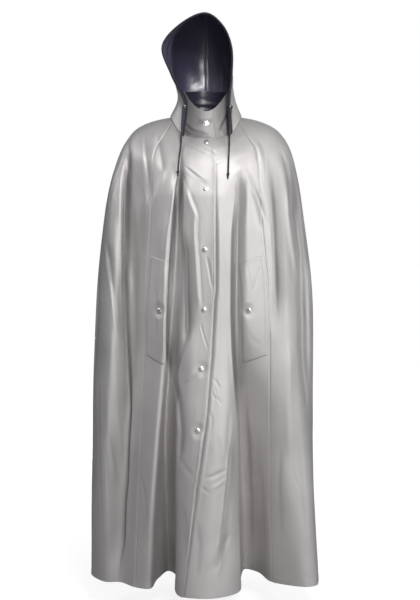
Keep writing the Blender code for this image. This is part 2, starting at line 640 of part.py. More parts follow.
def smooth_route(knots, count):
    """Points on a smooth curve through the route's own points, closer together in the short straight start."""
    knots = np.array(knots)
    stations = np.concatenate(([0], np.cumsum(np.linalg.norm(np.diff(knots, axis=0), axis=1))))
    positions = [0, stations[1]] + list(np.linspace(2 * stations[1], stations[-1], count - 2))
    return [along(stations, knots, position) for position in positions]


def build_cord(label, route, group):
    points = smooth_route(route, CORD_POINTS)
    curve = bpy.data.curves.new("cord_" + label, "CURVE")
    curve.dimensions = "3D"
    curve.bevel_depth = CORD_DIAMETER / 2
    curve.bevel_resolution = 2
    curve.use_fill_caps = True
    spline = curve.splines.new("POLY")
    spline.points.add(len(points) - 1)
    for point, spot in zip(spline.points, points):
        point.co = (*spot, 1)
    place("cord_" + label, curve, CORD, group)
    way = unit(points[-2] - points[-1])
    top = points[-1] - way * SEAM_GAP
    length = KNOT_LENGTH + TAIL_LENGTH
    tail = CORD_DIAMETER / 2
    profile = ((0, 0), (tail, 0), (KNOT_RADIUS, -0.3 * KNOT_LENGTH), (KNOT_RADIUS, -0.7 * KNOT_LENGTH),
               (tail, -KNOT_LENGTH), (1.1 * tail, -length), (0, -length))
    turned("knot_" + label, profile, SNAP_SIDES, top, way, CORD, group)


def build():
    clear_scene()
    group = collection_named("rain_cape")
    right, left = build_body(group)
    collar_snap = build_collar(group)
    casing = build_hood(group)
    welt_right = build_welt("welt_right", right, "first", WELT_WIDTH_RIGHT, group)
    welt_left = build_welt("welt_left", left, "last", WELT_WIDTH_LEFT, group)
    for number, snap in enumerate(FRONT_SNAPS, 1):
        column = column_at(right, "last", snap.inset * MM, snap.height * MM)
        spot, way = on_panel(right, column, snap.height * MM)
        lay_snap(f"snap_front_{number}", spot, way, ["front_right"], group)
    lay_snap("snap_collar", *collar_snap, ["collar"], group)
    lay_snap("snap_welt_right", *welt_right, ["welt_right"], group)
    lay_snap("snap_welt_left", *welt_left, ["welt_left"], group)
    for side in (-1, 1):
        build_eyelet_and_cord(side, casing, group)


build()
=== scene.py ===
"""Silver-grey hooded rain cape: its cloth, seams, stitching, snaps and cords, and the studio round it.

Metres, +Z up, front towards -Y, +X the wearer's left. Tables are in millimetres and degrees. A turn is
counted from the front centre round the wearer's left side, and reach is the distance down the cloth from the
neckline.
"""

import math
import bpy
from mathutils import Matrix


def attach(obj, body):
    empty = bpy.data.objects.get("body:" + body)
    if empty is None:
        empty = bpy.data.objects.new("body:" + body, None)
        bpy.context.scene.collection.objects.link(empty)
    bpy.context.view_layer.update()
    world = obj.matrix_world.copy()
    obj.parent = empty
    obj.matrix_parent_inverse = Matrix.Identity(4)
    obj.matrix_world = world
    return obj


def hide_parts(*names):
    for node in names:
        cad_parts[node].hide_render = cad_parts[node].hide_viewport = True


bl_info = {
    "name": "Hooded Rain Cape",
    "version": (1, 0, 0),
    "blender": (4, 5, 0),
    "location": "View3D > Sidebar > Rain Cape",
    "description": "Builds the cloth, trims and studio of a hooded rain cape on its fixed frame",
    "category": "Object",
}

from collections import namedtuple

import bmesh
import bpy
import numpy as np
from mathutils import Matrix, Vector, noise

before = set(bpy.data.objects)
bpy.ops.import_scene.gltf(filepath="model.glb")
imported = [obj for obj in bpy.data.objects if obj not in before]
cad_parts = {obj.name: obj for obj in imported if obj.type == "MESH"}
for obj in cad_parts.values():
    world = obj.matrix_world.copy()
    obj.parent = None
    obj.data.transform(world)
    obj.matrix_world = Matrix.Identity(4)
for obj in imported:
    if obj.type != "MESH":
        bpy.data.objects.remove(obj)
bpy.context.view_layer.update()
MM = 0.001
FRONT = (0, -1, 0)

# ==================== the cape's shape, as it was cut and as it hangs
Ring = namedtuple("Ring", "reach half_width front_depth back_depth side_z front_z back_z flatness")
RINGS = (
    Ring(0, 95, 88, 71, 5, -64, 16, 4.0),
    Ring(45, 138, 106, 99, -3, -98, -14, 3.2),
    Ring(105, 197, 119, 119, -27, -136, -62, 2.6),
    Ring(165, 244, 126, 128, -90, -172, -130, 2.0),
)
LEVELS = ((235, -230), (585, -580), (965, -960), (1338, -1333))     # reach, height
HEM = 1338
# Where each fold starts on the neckline and crosses the arm, then its place at four levels.
Fold = namedtuple("Fold", "name neck_turn arm_turn chest waist knee hem")
FOLDS = (
    Fold("seam_right", -75, -38, (-151, -106), (-170, -94), (-186, -104), (-202, -108)),
    Fold("ridge_right", -59, -23, (-92, -134), (-111, -138), (-142, -138), (-160, -124)),
    Fold("fall_right", -54, -21, (-85, -126), (-104, -124), (-129, -96), (-143, -36)),
    Fold("hollow_right", -49, -19, (-77, -114), (-96, -99), (-118, -26), (-112, 52)),
    Fold("rise_right", -43, -16.5, (-67, -121), (-82, -111), (-95, -58), (-88, 14)),
    Fold("box_edge_right", -37, -13.5, (-55, -135), (-66, -132), (-80, -134), (-85, -76)),
    Fold("underlap", -28, -9, (-36, -139), (-42, -141), (-66, -161), (-83, -142)),
    Fold("placket", -8, -1.5, (-8, -142), (-14, -144), (-45, -174), (-74, -182)),
    Fold("front_edge", 13, 5.6, (23, -142), (14, -145), (-19, -179), (-60, -201)),
    Fold("box_middle", 27, 12, (50, -138), (44, -142), (25, -181), (5, -213)),
    Fold("box_ridge_left", 38, 17, (70, -131), (63, -134), (64, -167), (62, -189)),
    Fold("box_edge_left", 44, 19.5, (79, -124), (73, -125), (84, -136), (94, -146)),
    Fold("fall_left", 48, 21, (85, -114), (79, -109), (89, -70), (101, -18)),
    Fold("hollow_left", 52, 23, (93, -108), (88, -100), (102, -8), (118, 73)),
    Fold("rise_left", 61, 29, (116, -119), (114, -118), (136, -30), (155, 40)),
    Fold("seam_left", 75, 37, (152, -110), (179, -114), (181, -87), (190, -58)),
    Fold("ridge_left", 80, 52, (207, -97), (223, -107), (228, -104), (240, -91)),
    Fold("arm_left", 84, 62, (238, -71), (252, -82), (268, -92), (288, -106)),
    Fold("dip_left", 87, 70, (258, -39), (273, -48), (294, -68), (314, -92)),
    Fold("roll_left", 90, 79, (271, -20), (296, -36), (305, -38), (323, -58)),
    Fold("side_left", 94, 90, (276, 6), (311, 5), (311, 2), (325, -6)),
    Fold("back_dip_left", 98, 102, (267, 42), (297, 52), (296, 48), (296, 44)),
    Fold("back_roll_left", 104, 116, (244, 78), (277, 98), (285, 109), (292, 118)),
    Fold("back_seam_left", 116, 127, (207, 101), (230, 104), (238, 96), (240, 86)),
    Fold("back_rise_1", 124, 133, (190, 109), (208, 116), (211, 113), (212, 100)),
    Fold("back_ridge_1a", 132, 140, (163, 119), (182, 138), (190, 163), (194, 182)),
    Fold("back_ridge_1b", 140, 146, (139, 125), (154, 143), (156, 170), (156, 194)),
    Fold("back_hollow_1a", 148, 152, (111, 128), (124, 129), (131, 108), (133, 86)),
    Fold("back_hollow_1b", 154, 157, (92, 129), (102, 125), (100, 98), (96, 74)),
    Fold("back_ridge_2a", 165, 165, (58, 136), (66, 151), (72, 178), (70, 200)),
    Fold("back_ridge_2b", 172, 172, (30, 139), (32, 156), (30, 184), (24, 210)),
    Fold("back_hollow_2a", 180, 179, (2, 137), (3, 142), (2, 126), (-1, 104)),
    Fold("back_hollow_2b", 187, 185, (-24, 135), (-28, 137), (-33, 119), (-38, 92)),
    Fold("back_ridge_3a", 194, 192, (-54, 136), (-58, 149), (-60, 172), (-62, 190)),
    Fold("back_ridge_3b", 202, 199, (-86, 133), (-97, 151), (-106, 178), (-116, 203)),
    Fold("back_hollow_3a", 210, 206, (-117, 127), (-128, 128), (-136, 108), (-142, 84)),
    Fold("back_hollow_3b", 217, 211, (-138, 122), (-153, 122), (-166, 100), (-176, 76)),
    Fold("back_ridge_4a", 226, 219, (-166, 115), (-187, 128), (-197, 142), (-204, 156)),
    Fold("back_ridge_4b", 233, 225, (-188, 108), (-210, 126), (-223, 147), (-236, 164)),
    Fold("back_seam_right", 243, 234, (-225, 92), (-247, 104), (-260, 104), (-270, 98)),
    Fold("back_roll_right", 254, 247, (-258, 62), (-290, 76), (-304, 88), (-308, 102)),
    Fold("back_dip_right", 262, 258, (-278, 30), (-308, 38), (-318, 45), (-322, 60)),
    Fold("side_right", 268, 270, (-286, -2), (-320, 0), (-333, 10), (-339, 26)),
    Fold("arm_right", 274, 290, (-262, -66), (-266, -84), (-289, -68), (-290, -56)),
    Fold("dip_right", 280, 307, (-204, -64), (-212, -48), (-229, -56), (-247, -60)),
)
FOLD_AT = {fold.name: place for place, fold in enumerate(FOLDS)}
LAP_STARTS, LAP_FULL, LAP_LIFT = "hollow_right", "box_edge_right", 2.4

# Panels: first and last fold line, columns of cloth points, gap between their rows, edges that dip into a seam,
# and rows of stitches down the panel: the edge they follow, their distance from it and the reach they start at.
Panel = namedtuple("Panel", "name first last columns row_gap sewn stitched")
BOTH = ("first", "last")
FIRST_ROW, LAST_ROW, EDGE_ROW = ("first", 4.5, 14), ("last", 4.5, 14), ("last", 5, 22)
PANELS = (
    Panel("front_right", "seam_right", "front_edge", 124, 5.0, ("first",), (EDGE_ROW, FIRST_ROW)),
    Panel("front_left", "underlap", "seam_left", 150, 5.0, ("last",), (LAST_ROW,)),
    Panel("side_left", "seam_left", "back_seam_left", 112, 6.2, BOTH, ()),
    Panel("back", "back_seam_left", "back_seam_right", 178, 6.4, BOTH, (FIRST_ROW, LAST_ROW)),
    Panel("side_right", "back_seam_right", "seam_right", 132, 5.6, BOTH, ()),
)
EDGE_INSETS = (0, 0.9, 2.0, 3.4, 5.2)      # the cloth is finer next to a sewn or turned edge
HEM_STITCH_INSET = 1.5                     # the hem's stitches stand this far inside its turned edge
STITCHES_END = 4                           # rows of stitches down a panel end this far above the hem
SEAM_REACH = 0.0026                        # how far the dip into a seam spreads
PUCKER = 0.00028                           # height of the small waves along a seam
SWELLS = ((0.0011, 9.0, 2.6, 3), (0.00045, 26.0, 2.0, 5))     # height, scale, stretch down the cloth, seed
FREE_EDGE_LIFT, FREE_EDGE_REACH = 0.0016, 0.010               # the upper front stands off the lower at its edge

# Folds and creases that the cloth has taken, as they are seen from each side. A row says how far a crease
# spreads to its left and to its right, for a line that runs down, and how deep it is (a raised line is negative),
# and then gives its points: across and height.
Crease = namedtuple("Crease", "side left right depth points")
CREASE_ROWS = {
    "front": (
        (6, 15, 12, (-220, -41), (-228, -87), (-232, -160), (-235, -267), (-236, -377), (-235, -522)),
        (14, 8, 10, (-235, -377), (-231, -522), (-228, -652), (-225, -768), (-223, -899)),
        (20, 24, -7, (-154, -151), (-167, -246), (-170, -406), (-171, -551), (-173, -673)),
        (14, 16, -4, (-116, -220), (-125, -348), (-130, -493), (-133, -652)),
        (16, 5.5, 9, (-223, -731), (-223, -844), (-229, -948), (-233, -1056), (-239, -1108), (-244, -1238),
         (-260, -1351)),
        (4, 15, 9, (-72, -75), (-78, -160), (-90, -246), (-102, -334), (-110, -435), (-112, -536)),
        (4, 8, 8.5, (-109, -400), (-112, -522), (-112, -652), (-107, -789)),
        (10, 24, 5.5, (-75, -304), (-67, -420), (-61, -551), (-64, -673)),
        (3.5, 11, 8, (107, -125), (96, -174), (86, -246), (77, -334), (74, -435), (74, -551), (78, -667),
         (87, -798), (96, -928)),
        (12, 24, -6, (113, -220), (104, -348), (104, -522), (110, -652)),
        (9, 36, 6, (162, -75), (174, -168), (194, -348), (197, -493), (191, -638)),
        (10, 12, 8, (229, -87), (252, -203), (268, -313), (277, -394), (280, -493), (283, -667), (293, -789),
         (302, -928)),
        (5, 12, 4, (-181, -32), (-172, -122), (-160, -255)),
        (9, 9, 3.5, (-142, -41), (-133, -87), (-122, -157)),
        (6, 6, -1.8, (-116, -139), (-133, -188), (-149, -249)),
        (10, 8, -3, (-246, -130), (-254, -319), (-258, -522), (-255, -684)),
        (4, 16, 3.5, (-290, -336), (-270, -493), (-249, -661)),
        (8, 8, 2, (-258, -87), (-278, -160), (-290, -261)),
        (4, 4, 1.2, (-235, -87), (-242, -174), (-244, -319)),
        (4, 4, -1.8, (-91, -180), (-100, -319), (-110, -493), (-114, -667)),
        (10, 5, -3, (-77, -157), (-52, -220), (-32, -278), (-33, -348), (-23, -508), (-12, -586)),
        (3, 3, -1.2, (-81, -342), (-78, -412), (-80, -522), (-75, -638)),
        (3.5, 3.5, 1.3, (-55, -354), (-54, -493), (-49, -644)),
        (2.6, 2.6, -1, (-72, -319), (-64, -365), (-59, -418)),
        (4, 8, 2.6, (113, -133), (139, -197), (162, -249), (174, -302)),
        (3, 3, -1.6, (128, -157), (154, -218), (171, -267), (186, -307), (188, -412)),
        (9, 9, 3, (130, -197), (145, -255), (160, -325)),
        (3.5, 10, 3, (180, -72), (188, -203), (194, -276), (200, -412), (206, -594)),
        (5, 5, -1.8, (232, -162), (238, -276), (249, -362), (264, -450), (270, -536)),
        (6, 6, 2.4, (249, -116), (267, -203), (274, -278)),
        (14, 14, -4.5, (238, -624), (241, -812), (246, -1015)),
        (7, 7, -1.8, (145, -58), (162, -116), (174, -188)),
        (3.5, 3.5, 1.7, (-64, -133), (-46, -149), (-26, -165), (14, -193)),
        (2.6, 2.6, 0.7, (-17, -80), (9, -87), (38, -103)),
        (2.4, 2.4, 0.7, (19, -136), (32, -128), (49, -120)),
        (3.2, 3.2, 0.8, (-70, -67), (-35, -80), (6, -102)),
        (2.6, 5, 1.1, (-1, -386), (9, -435), (19, -499)),
        (5, 5, 0.5, (44, -365), (58, -464), (46, -568)),
        (4, 4, 0.7, (-46, -246), (-29, -296), (-26, -365)),
        (3, 5, 1, (157, -418), (145, -464), (133, -505)),
        (3, 3, 0.6, (119, -412), (125, -458), (128, -499)),
        (5, 5, 0.6, (116, -609), (136, -638), (162, -655)),
        (4, 4, 0.7, (-154, -429), (-142, -522), (-145, -652)),
        (2.4, 2.4, 0.7, (-313, -673), (-311, -1000), (-302, -1276)),
        (12, 9, -2.4, (-267, -673), (-264, -792), (-251, -922), (-244, -1038)),
        (20, 26, 3.5, (-273, -870), (-281, -1015), (-287, -1189), (-290, -1320)),
        (6, 6, 1.6, (-286, -899), (-270, -992), (-252, -1090)),
        (6, 6, 0.9, (-296, -754), (-294, -928), (-284, -1160)),
        (9, 7, -2.2, (-116, -673), (-129, -800), (-140, -896), (-148, -1000), (-161, -1108), (-171, -1270)),
        (3, 14, 4, (-97, -731), (-81, -826), (-74, -908), (-80, -1015)),
        (9, 6, 3, (-46, -586), (-58, -638), (-77, -696), (-90, -737)),
        (6, 6, 1.4, (-67, -771), (-44, -757), (-17, -731)),
        (6, 6, 1.3, (-75, -983), (-58, -1015), (-35, -1041)),
        (8, 8, 1.2, (-72, -1102), (-58, -1189), (-67, -1293)),
        (2.4, 2.4, 1, (-17, -586), (-6, -629), (10, -676)),
        (2.6, 3.5, 1, (12, -748), (29, -760), (42, -786)),
        (2.6, 3.5, 0.9, (17, -806), (32, -809), (46, -829)),
        (2.6, 2.6, 0.7, (26, -771), (17, -792), (29, -818)),
        (3, 4, 0.8, (9, -847), (17, -870), (14, -899)),
        (3.5, 5, 1.3, (-9, -1047), (23, -1038), (67, -1015)),
        (4, 4, -1, (12, -1079), (41, -1061), (72, -1038)),
        (3.2, 3.2, 0.9, (-17, -1067), (0, -1082), (17, -1090)),
        (12, 4, 2.8, (75, -1195), (49, -1264), (23, -1334)),
        (7, 7, -1.2, (55, -1195), (29, -1256), (0, -1322)),
        (10, 10, 1.4, (-29, -1160), (-20, -1247), (-29, -1348)),
        (6, 6, -0.9, (38, -899), (49, -957), (46, -1009)),
        (30, 14, -4, (58, -174), (58, -406), (55, -638), (52, -870), (46, -1102)),
        (34, 9, -3.2, (17, -574), (10, -676), (-3, -856), (-34, -1076), (-59, -1299)),
        (1.4, 6, 4.2, (27, -58), (27, -493), (23, -522), (15, -676), (1, -856), (-30, -1076), (-55, -1299),
         (-60, -1383)),
        (14, 10, 3.2, (113, -812), (122, -957), (128, -1131), (133, -1293)),
        (10, 14, -2.4, (261, -319), (267, -493), (267, -667)),
        (3.5, 14, 4.5, (81, -884), (70, -1000), (58, -1116), (44, -1241), (32, -1369)),
        (8, 4, 2, (70, -824), (65, -928), (72, -1044)),
        (2.6, 2.6, 0.7, (-220, -1125), (-203, -1227), (-177, -1302)),
        (2.6, 2.6, 0.6, (-225, -1232), (-215, -1276), (-197, -1322)),
        (4, 4, 0.9, (-194, -1015), (-177, -1102), (-171, -1189)),
        (6, 6, 1.2, (116, -754), (119, -928), (125, -1102)),
        (6, 6, -1.3, (139, -870), (142, -1015), (151, -1189)),
        (5, 5, 1.2, (162, -1015), (165, -1131), (174, -1276)),
        (7, 7, 1.4, (218, -928), (212, -1073), (223, -1232)),
        (7, 7, 1.2, (270, -899), (276, -1044), (290, -1218)),
        (3.5, 3.5, 0.8, (249, -986), (261, -1050), (284, -1090)),
    ),
    "back": (
        (5, 10, 3.6, (-150, -70), (-148, -140), (-160, -240)),
        (9, 4, 3, (-96, -60), (-104, -150), (-128, -260)),
        (5, 14, 4.4, (96, -60), (112, -150), (134, -300)),
        (10, 4, 3, (152, -80), (166, -150), (176, -260)),
        (8, 8, -2, (-60, -70), (-70, -160), (-84, -300)),
        (8, 8, 2.2, (-8, -30), (-4, -110), (2, -240)),
        (6, 14, 3.6, (4, -200), (-6, -420), (-8, -640)),
        (8, 8, 2.2, (46, -90), (52, -190), (58, -330)),
        (3.5, 5, 1.4, (-40, -60), (-10, -76), (28, -72)),
        (3.5, 5, 1.2, (-70, -92), (-34, -118), (-6, -126)),
        (3.5, 5, 1.2, (78, -96), (48, -124), (20, -134)),
        (5, 5, 1.3, (-110, -430), (-96, -480), (-98, -540)),
        (3.5, 5, 1.2, (-60, -620), (-36, -640), (-14, -632)),
        (3.5, 5, 1.2, (20, -700), (44, -730), (80, -738)),
        (4, 12, 3, (-190, -520), (-198, -680), (-206, -860)),
        (12, 4, 3, (196, -480), (204, -660), (206, -840)),
        (6, 6, 1.6, (88, -880), (72, -930), (70, -1000)),
        (6, 6, 1.6, (-78, -900), (-92, -980), (-90, -1070)),
        (4, 4, 1.1, (150, -1010), (168, -1060), (176, -1130)),
        (4, 4, 1.1, (-150, -1080), (-170, -1130), (-176, -1210)),
        (7, 7, 1.8, (28, -1040), (38, -1130), (32, -1230)),
        (3, 3, 0.9, (118, -560), (138, -590), (164, -596)),
        (3, 3, 0.9, (-140, -720), (-118, -744), (-92, -748)),
        (4, 4, -1, (10, -820), (0, -900), (8, -990)),
    ),
    "left": (
        (7, 7, 2.6, (-60, -66), (-66, -140), (-78, -260)),
        (7, 7, 2.2, (-10, -46), (-6, -130), (-4, -260)),
        (4, 12, 4, (52, -66), (62, -160), (70, -320)),
        (3.5, 5, 1.3, (-30, -110), (-8, -160), (24, -178)),
        (5, 12, 3.2, (22, -400), (30, -560), (26, -760)),
        (6, 6, 1.6, (-60, -420), (-52, -520), (-58, -640)),
        (3.5, 5, 1.2, (-20, -640), (8, -676), (44, -682)),
        (6, 6, 1.6, (60, -820), (48, -900), (54, -1010)),
        (7, 7, 1.8, (-14, -900), (-6, -1020), (-16, -1180)),
        (3, 4, 0.9, (10, -1040), (34, -1080), (66, -1090)),
    ),
    "right": (
        (7, 7, 2.4, (-60, -66), (-64, -140), (-60, -250)),
        (7, 7, 2.2, (0, -46), (4, -140), (2, -280)),
        (12, 4, 4, (56, -70), (66, -170), (74, -330)),
        (3.5, 5, 1.3, (-16, -120), (12, -166), (40, -176)),
        (12, 5, 3.2, (-20, -420), (-26, -600), (-18, -800)),
        (7, 7, 1.8, (40, -500), (50, -640), (46, -800)),
        (3.5, 5, 1.2, (-40, -620), (-14, -660), (20, -664)),
        (6, 6, 1.6, (16, -860), (4, -960), (10, -1080)),
        (7, 7, 1.8, (76, -880), (88, -1010), (84, -1180)),
        (3, 4, 0.9, (-30, -1010), (-6, -1050), (30, -1062)),
    ),
}
CREASES = [Crease(side, *row[:3], row[3:]) for side, rows in CREASE_ROWS.items() for row in rows]

COLLAR_FOOT = Ring(0, 93.0, 86.0, 69.0, 2, -67, 13, 4.0)
COLLAR_WAIST = Ring(0, 77, 77, 66, 38, -29, 50, 3.0)
COLLAR_TOP = Ring(0, 64, 69, 60, 80, 14, 88, 2.0)
COLLAR_UNDER_TURN, COLLAR_OVER_TURN, COLLAR_TUCK_TURN = -26, 379, 66
COLLAR_TUCK = 2.4           # how far the under end of the collar tucks in

Rim = namedtuple("Rim", "name height right_x left_x y")
RIM = (
    Rim("chin", 41, -54, 64, -86),
    Rim("cheek", 113, -96, 72, -88),
    Rim("temple", 190, -122, 71, -93),
    Rim("brow", 247, -76, 46, -99),
)
Hoop = namedtuple("Hoop", "name foot_turn half_width rim_share top_y top_z")
HOOPS = (
    Hoop("rim", 41, 0, 1.0, -104, 279),
    Hoop("brow", 58, 94, 0.62, -62, 289),
    Hoop("crown", 78, 97, 0.30, -2, 298),
    Hoop("back", 96, 96, 0.10, 62, 276),
    Hoop("occiput", 112, 88, 0.0, 107, 208),
    Hoop("nape", 123, 76, 0.0, 114, 118),
)
HOOP_LAST_TURN = 128
HOOP_RIGHT_SIDE = ((0.20, 0.89), (0.46, 0.96), (0.72, 0.87), (0.90, 0.52))
HOOP_LEFT_SIDE = ((0.20, 0.89), (0.46, 0.79), (0.72, 0.71), (0.90, 0.44))
HOOD_FOOT_REACH, HOOD_FOOT_LIFT = 7.5, 2.8
# The casing tape's section: inset from the hood's edge, and lift over the hood.
TAPE_SECTION = ((6.5, -1.3), (3, -1.6), (-0.2, -1.4), (-1.2, 0), (0.2, 1.6), (4, 2.4), (9, 2.8), (13.5, 2.4),
                (16.5, 1.5), (18, 1.1))
TAPE_WALL = 0.0008
TAPE_NARROW_END, TAPE_WIDENS_OVER = 0.42, 0.06      # its right-hand end is this share of its width, and widens

CORD_RIGHT = ((-64, -87, 18), (-65.5, -88.5, 0), (-67, -89.5, -22), (-68, -91, -46), (-69, -94.5, -70),
              (-71, -101, -92), (-73.5, -110.2, -113), (-75.5, -118.2, -135), (-76.5, -121.5, -147),
              (-77, -124.6, -156))
CORD_LEFT = ((71, -86.5, 18), (69.5, -88.5, -2), (68, -89.5, -24), (67, -91, -47), (66, -94.5, -70),
             (65, -101.2, -92), (64, -110.8, -113), (63, -118.4, -135), (62.5, -122, -149), (62, -127, -162))


# ==================== sizes and colours that a user would change
def length(name, text, default, lowest, highest):
    return bpy.props.FloatProperty(name=name, description=text, default=default, min=lowest, max=highest,
                                   subtype="DISTANCE", unit="LENGTH", precision=4)


def colour(name, text, default):
    return bpy.props.FloatVectorProperty(name=name, description=text, default=default, size=3, min=0, max=1,
                                         subtype="COLOR")


class CapeSizes(bpy.types.PropertyGroup):
    """Sizes of the cloth and its sewing."""

    wall: length("Cloth", "Thickness of the coated cloth", 0.0012, 0.0005, 0.002)
    seam_depth: length("Seam depth", "How far the cloth dips into a seam", 0.0013, 0, 0.003)
    stitch: length("Stitch", "Length of one stitch", 0.0026, 0.001, 0.006)
    stitch_pitch: length("Stitch pitch", "Distance from one stitch to the next", 0.0037, 0.0015, 0.008)
    hem_width: length("Hem", "Width of the turned hem", 0.014, 0.005, 0.04)
    welt_width_right: length("Right welt", "Width of the welt on the wearer's right", 0.062, 0.03, 0.1)
    welt_width_left: length("Left welt", "Width of the welt on the wearer's left", 0.066, 0.03, 0.1)
    cord: length("Cord", "Diameter of the drawcord", 0.005, 0.002, 0.008)


class CapeColours(bpy.types.PropertyGroup):
    """Colours of the cloth, the trims and the studio."""

    cloth: colour("Outer cloth", "Silver-grey coated face of the cloth", (0.66, 0.642, 0.638))
    inside: colour("Inner face", "Dark coated inner face of the cloth", (0.075, 0.071, 0.118))
    tape: colour("Casing tape", "Tape of the drawcord casing", (0.022, 0.02, 0.04))
    cord: colour("Cord", "Braided drawcord", (0.05, 0.043, 0.055))
    thread: colour("Thread", "Sewing thread", (0.33, 0.32, 0.33))
    metal: colour("Snaps", "Metal of the snaps and eyelets", (0.92, 0.9, 0.86))
    floor: colour("Floor", "Studio floor", (0.34, 0.34, 0.34))


def sizes():
    return bpy.context.scene.cape_sizes


def colours():
    return bpy.context.scene.cape_colours


# ==================== small tools
def skin():
    """Height of the cloth's face over its middle, with the stitches just proud of it."""
    return sizes().wall / 2 + 0.0001


def unit(vectors):
    return vectors / np.maximum(np.linalg.norm(vectors, axis=-1, keepdims=True), 1e-12)


def eased(share):
    """A share with soft ends, held between 0 and 1."""
    share = np.clip(share, 0, 1)
    return share * share * (3 - 2 * share)


def tapered(gone):
    """Nothing at both ends of a line and full over its middle half."""
    return eased(np.minimum(gone, 1 - gone) * 4)


def cubic(start, end, slope_start, slope_end, gap, share):
    """A smooth curve from start to end, with a slope at each."""
    t2, t3 = share ** 2, share ** 3
    return ((2 * t3 - 3 * t2 + 1) * start + (t3 - 2 * t2 + share) * gap * slope_start
            + (3 * t2 - 2 * t3) * end + (t3 - t2) * gap * slope_end)


def hermite(before, start, end, after, gap_before, gap, gap_after, share):
    """A smooth curve from start to end whose ends lean towards the neighbours, with their own gaps."""
    slope_start = ((start - before) / gap_before * gap + (end - start) / gap * gap_before) / (gap_before + gap)
    slope_end = ((end - start) / gap * gap_after + (after - end) / gap_after * gap) / (gap + gap_after)
    return cubic(start, end, slope_start, slope_end, gap, share)


def along(stations, values, position):
    """The smooth open curve through values (first axis), which lie at the given stations."""
    stations = np.asarray(stations, float)
    last = len(stations) - 1
    low = int(np.clip(np.searchsorted(stations, position) - 1, 0, last - 1))
    gap = stations[low + 1] - stations[low]
    before, gap_before = 2 * values[low] - values[low + 1], gap
    if low > 0:
        before, gap_before = values[low - 1], stations[low] - stations[low - 1]
    after, gap_after = 2 * values[low + 1] - values[low], gap
    if low + 2 <= last:
        after, gap_after = values[low + 2], stations[low + 2] - stations[low + 1]
    return hermite(before, values[low], values[low + 1], after, gap_before, gap, gap_after,
                   (position - stations[low]) / gap)


def arcs_of(points):
    """Distance along the last-but-one axis of a run of points."""
    steps = np.linalg.norm(np.diff(points, axis=-2), axis=-1)
    start = np.zeros(steps.shape[:-1] + (1,))
    return np.concatenate((start, np.cumsum(steps, axis=-1)), axis=-1)


def outward_of(points, sign=1.0):
    """Directions square to a grid of points."""
    across = np.gradient(points, axis=1)
    down = np.gradient(points, axis=0)
    return unit(np.cross(down, across)) * sign


def point_on(line, arcs, position):
    """The point at a distance along a line of points."""
    return np.array([np.interp(position, arcs, line[:, axis]) for axis in range(3)])


def beside(points, line):
    """For each point: how near a line comes, on which of its stretches, and how far along that stretch."""
    gap = np.full(points.shape[:-1], np.inf)
    stretch, shares = np.zeros(gap.shape, int), np.zeros(gap.shape)
    for number, (start, run) in enumerate(zip(line, np.diff(line, axis=0))):
        share = np.clip((points - start) @ run / (run @ run), 0, 1)
        distance = np.linalg.norm(points - start - share[..., None] * run, axis=-1)
        closer = distance < gap
        gap[closer], stretch[closer], shares[closer] = distance[closer], number, share[closer]
    return gap, stretch, shares


def to_scene(item):
    bpy.context.scene.collection.objects.link(item)
    return item


def finished(bm, name, finish):
    """The smooth object of a bmesh, in one material."""
    mesh = bpy.data.meshes.new(name)
    bm.to_mesh(mesh)
    bm.free()
    mesh.shade_smooth()
    mesh.materials.append(finish)
    return to_scene(bpy.data.objects.new(name, mesh))


def grid_mesh(name, points, outward, materials, uv=None, hollow=None):
    """A sheet of points (rows x columns x 3) as a mesh that faces outward, with its own UV map in metres."""
    rows, columns = points.shape[:2]
    bm = bmesh.new()
    bmesh.ops.create_grid(bm, x_segments=columns - 1, y_segments=rows - 1, size=0.5)
    mesh = bpy.data.meshes.new(name)
    bm.to_mesh(mesh)
    bm.free()
    flat = np.empty(len(mesh.vertices) * 3, np.float32)
    mesh.vertices.foreach_get("co", flat)
    column = np.rint((flat[0::3] + 0.5) * (columns - 1)).astype(int)
    row = np.rint((flat[1::3] + 0.5) * (rows - 1)).astype(int)
    mesh.vertices.foreach_set("co", points[row, column].astype(np.float32).ravel())
    if uv is None:
        uv = np.stack((arcs_of(points), arcs_of(points.transpose(1, 0, 2)).T), axis=-1)
    corners = np.empty(len(mesh.loops), np.int32)
    mesh.loops.foreach_get("vertex_index", corners)
    layer = mesh.uv_layers.new(name="cloth")
    layer.data.foreach_set("uv", uv[row[corners], column[corners]].astype(np.float32).ravel())
    # the painted shade goes on the mesh as a point attribute
    if hollow is not None:
        shade_layer = mesh.attributes.new("hollow", "FLOAT", "POINT")
        shade_layer.data.foreach_set("value", hollow[row, column].astype(np.float32))
    mesh.update()
    middle = mesh.polygons[len(mesh.polygons) // 2]
    vertex = middle.vertices[0]
    if Vector(outward[row[vertex], column[vertex]]).dot(middle.normal) < 0:
        mesh.flip_normals()
    mesh.shade_smooth()
    for finish in materials:
        mesh.materials.append(finish)
    return to_scene(bpy.data.objects.new(name, mesh))


def give_wall(item, thickness, inner_slot=0):
    wall = item.modifiers.new("wall", "SOLIDIFY")
    wall.thickness = thickness
    wall.offset = 0
    wall.use_rim = True
    wall.material_offset = inner_slot
    wall.material_offset_rim = 0
    return item


def facing(way, along_way):
    """Axes of a small piece that stands along a way, with its X turned to another."""
    z = Vector(way).normalized()
    x = Vector(along_way) - z * Vector(along_way).dot(z)
    x.normalize()
    y = z.cross(x)
    return Matrix((x, y, z)).transposed().to_4x4()


THREAD_WIDTH, THREAD_RISE = 0.00084, 0.00068


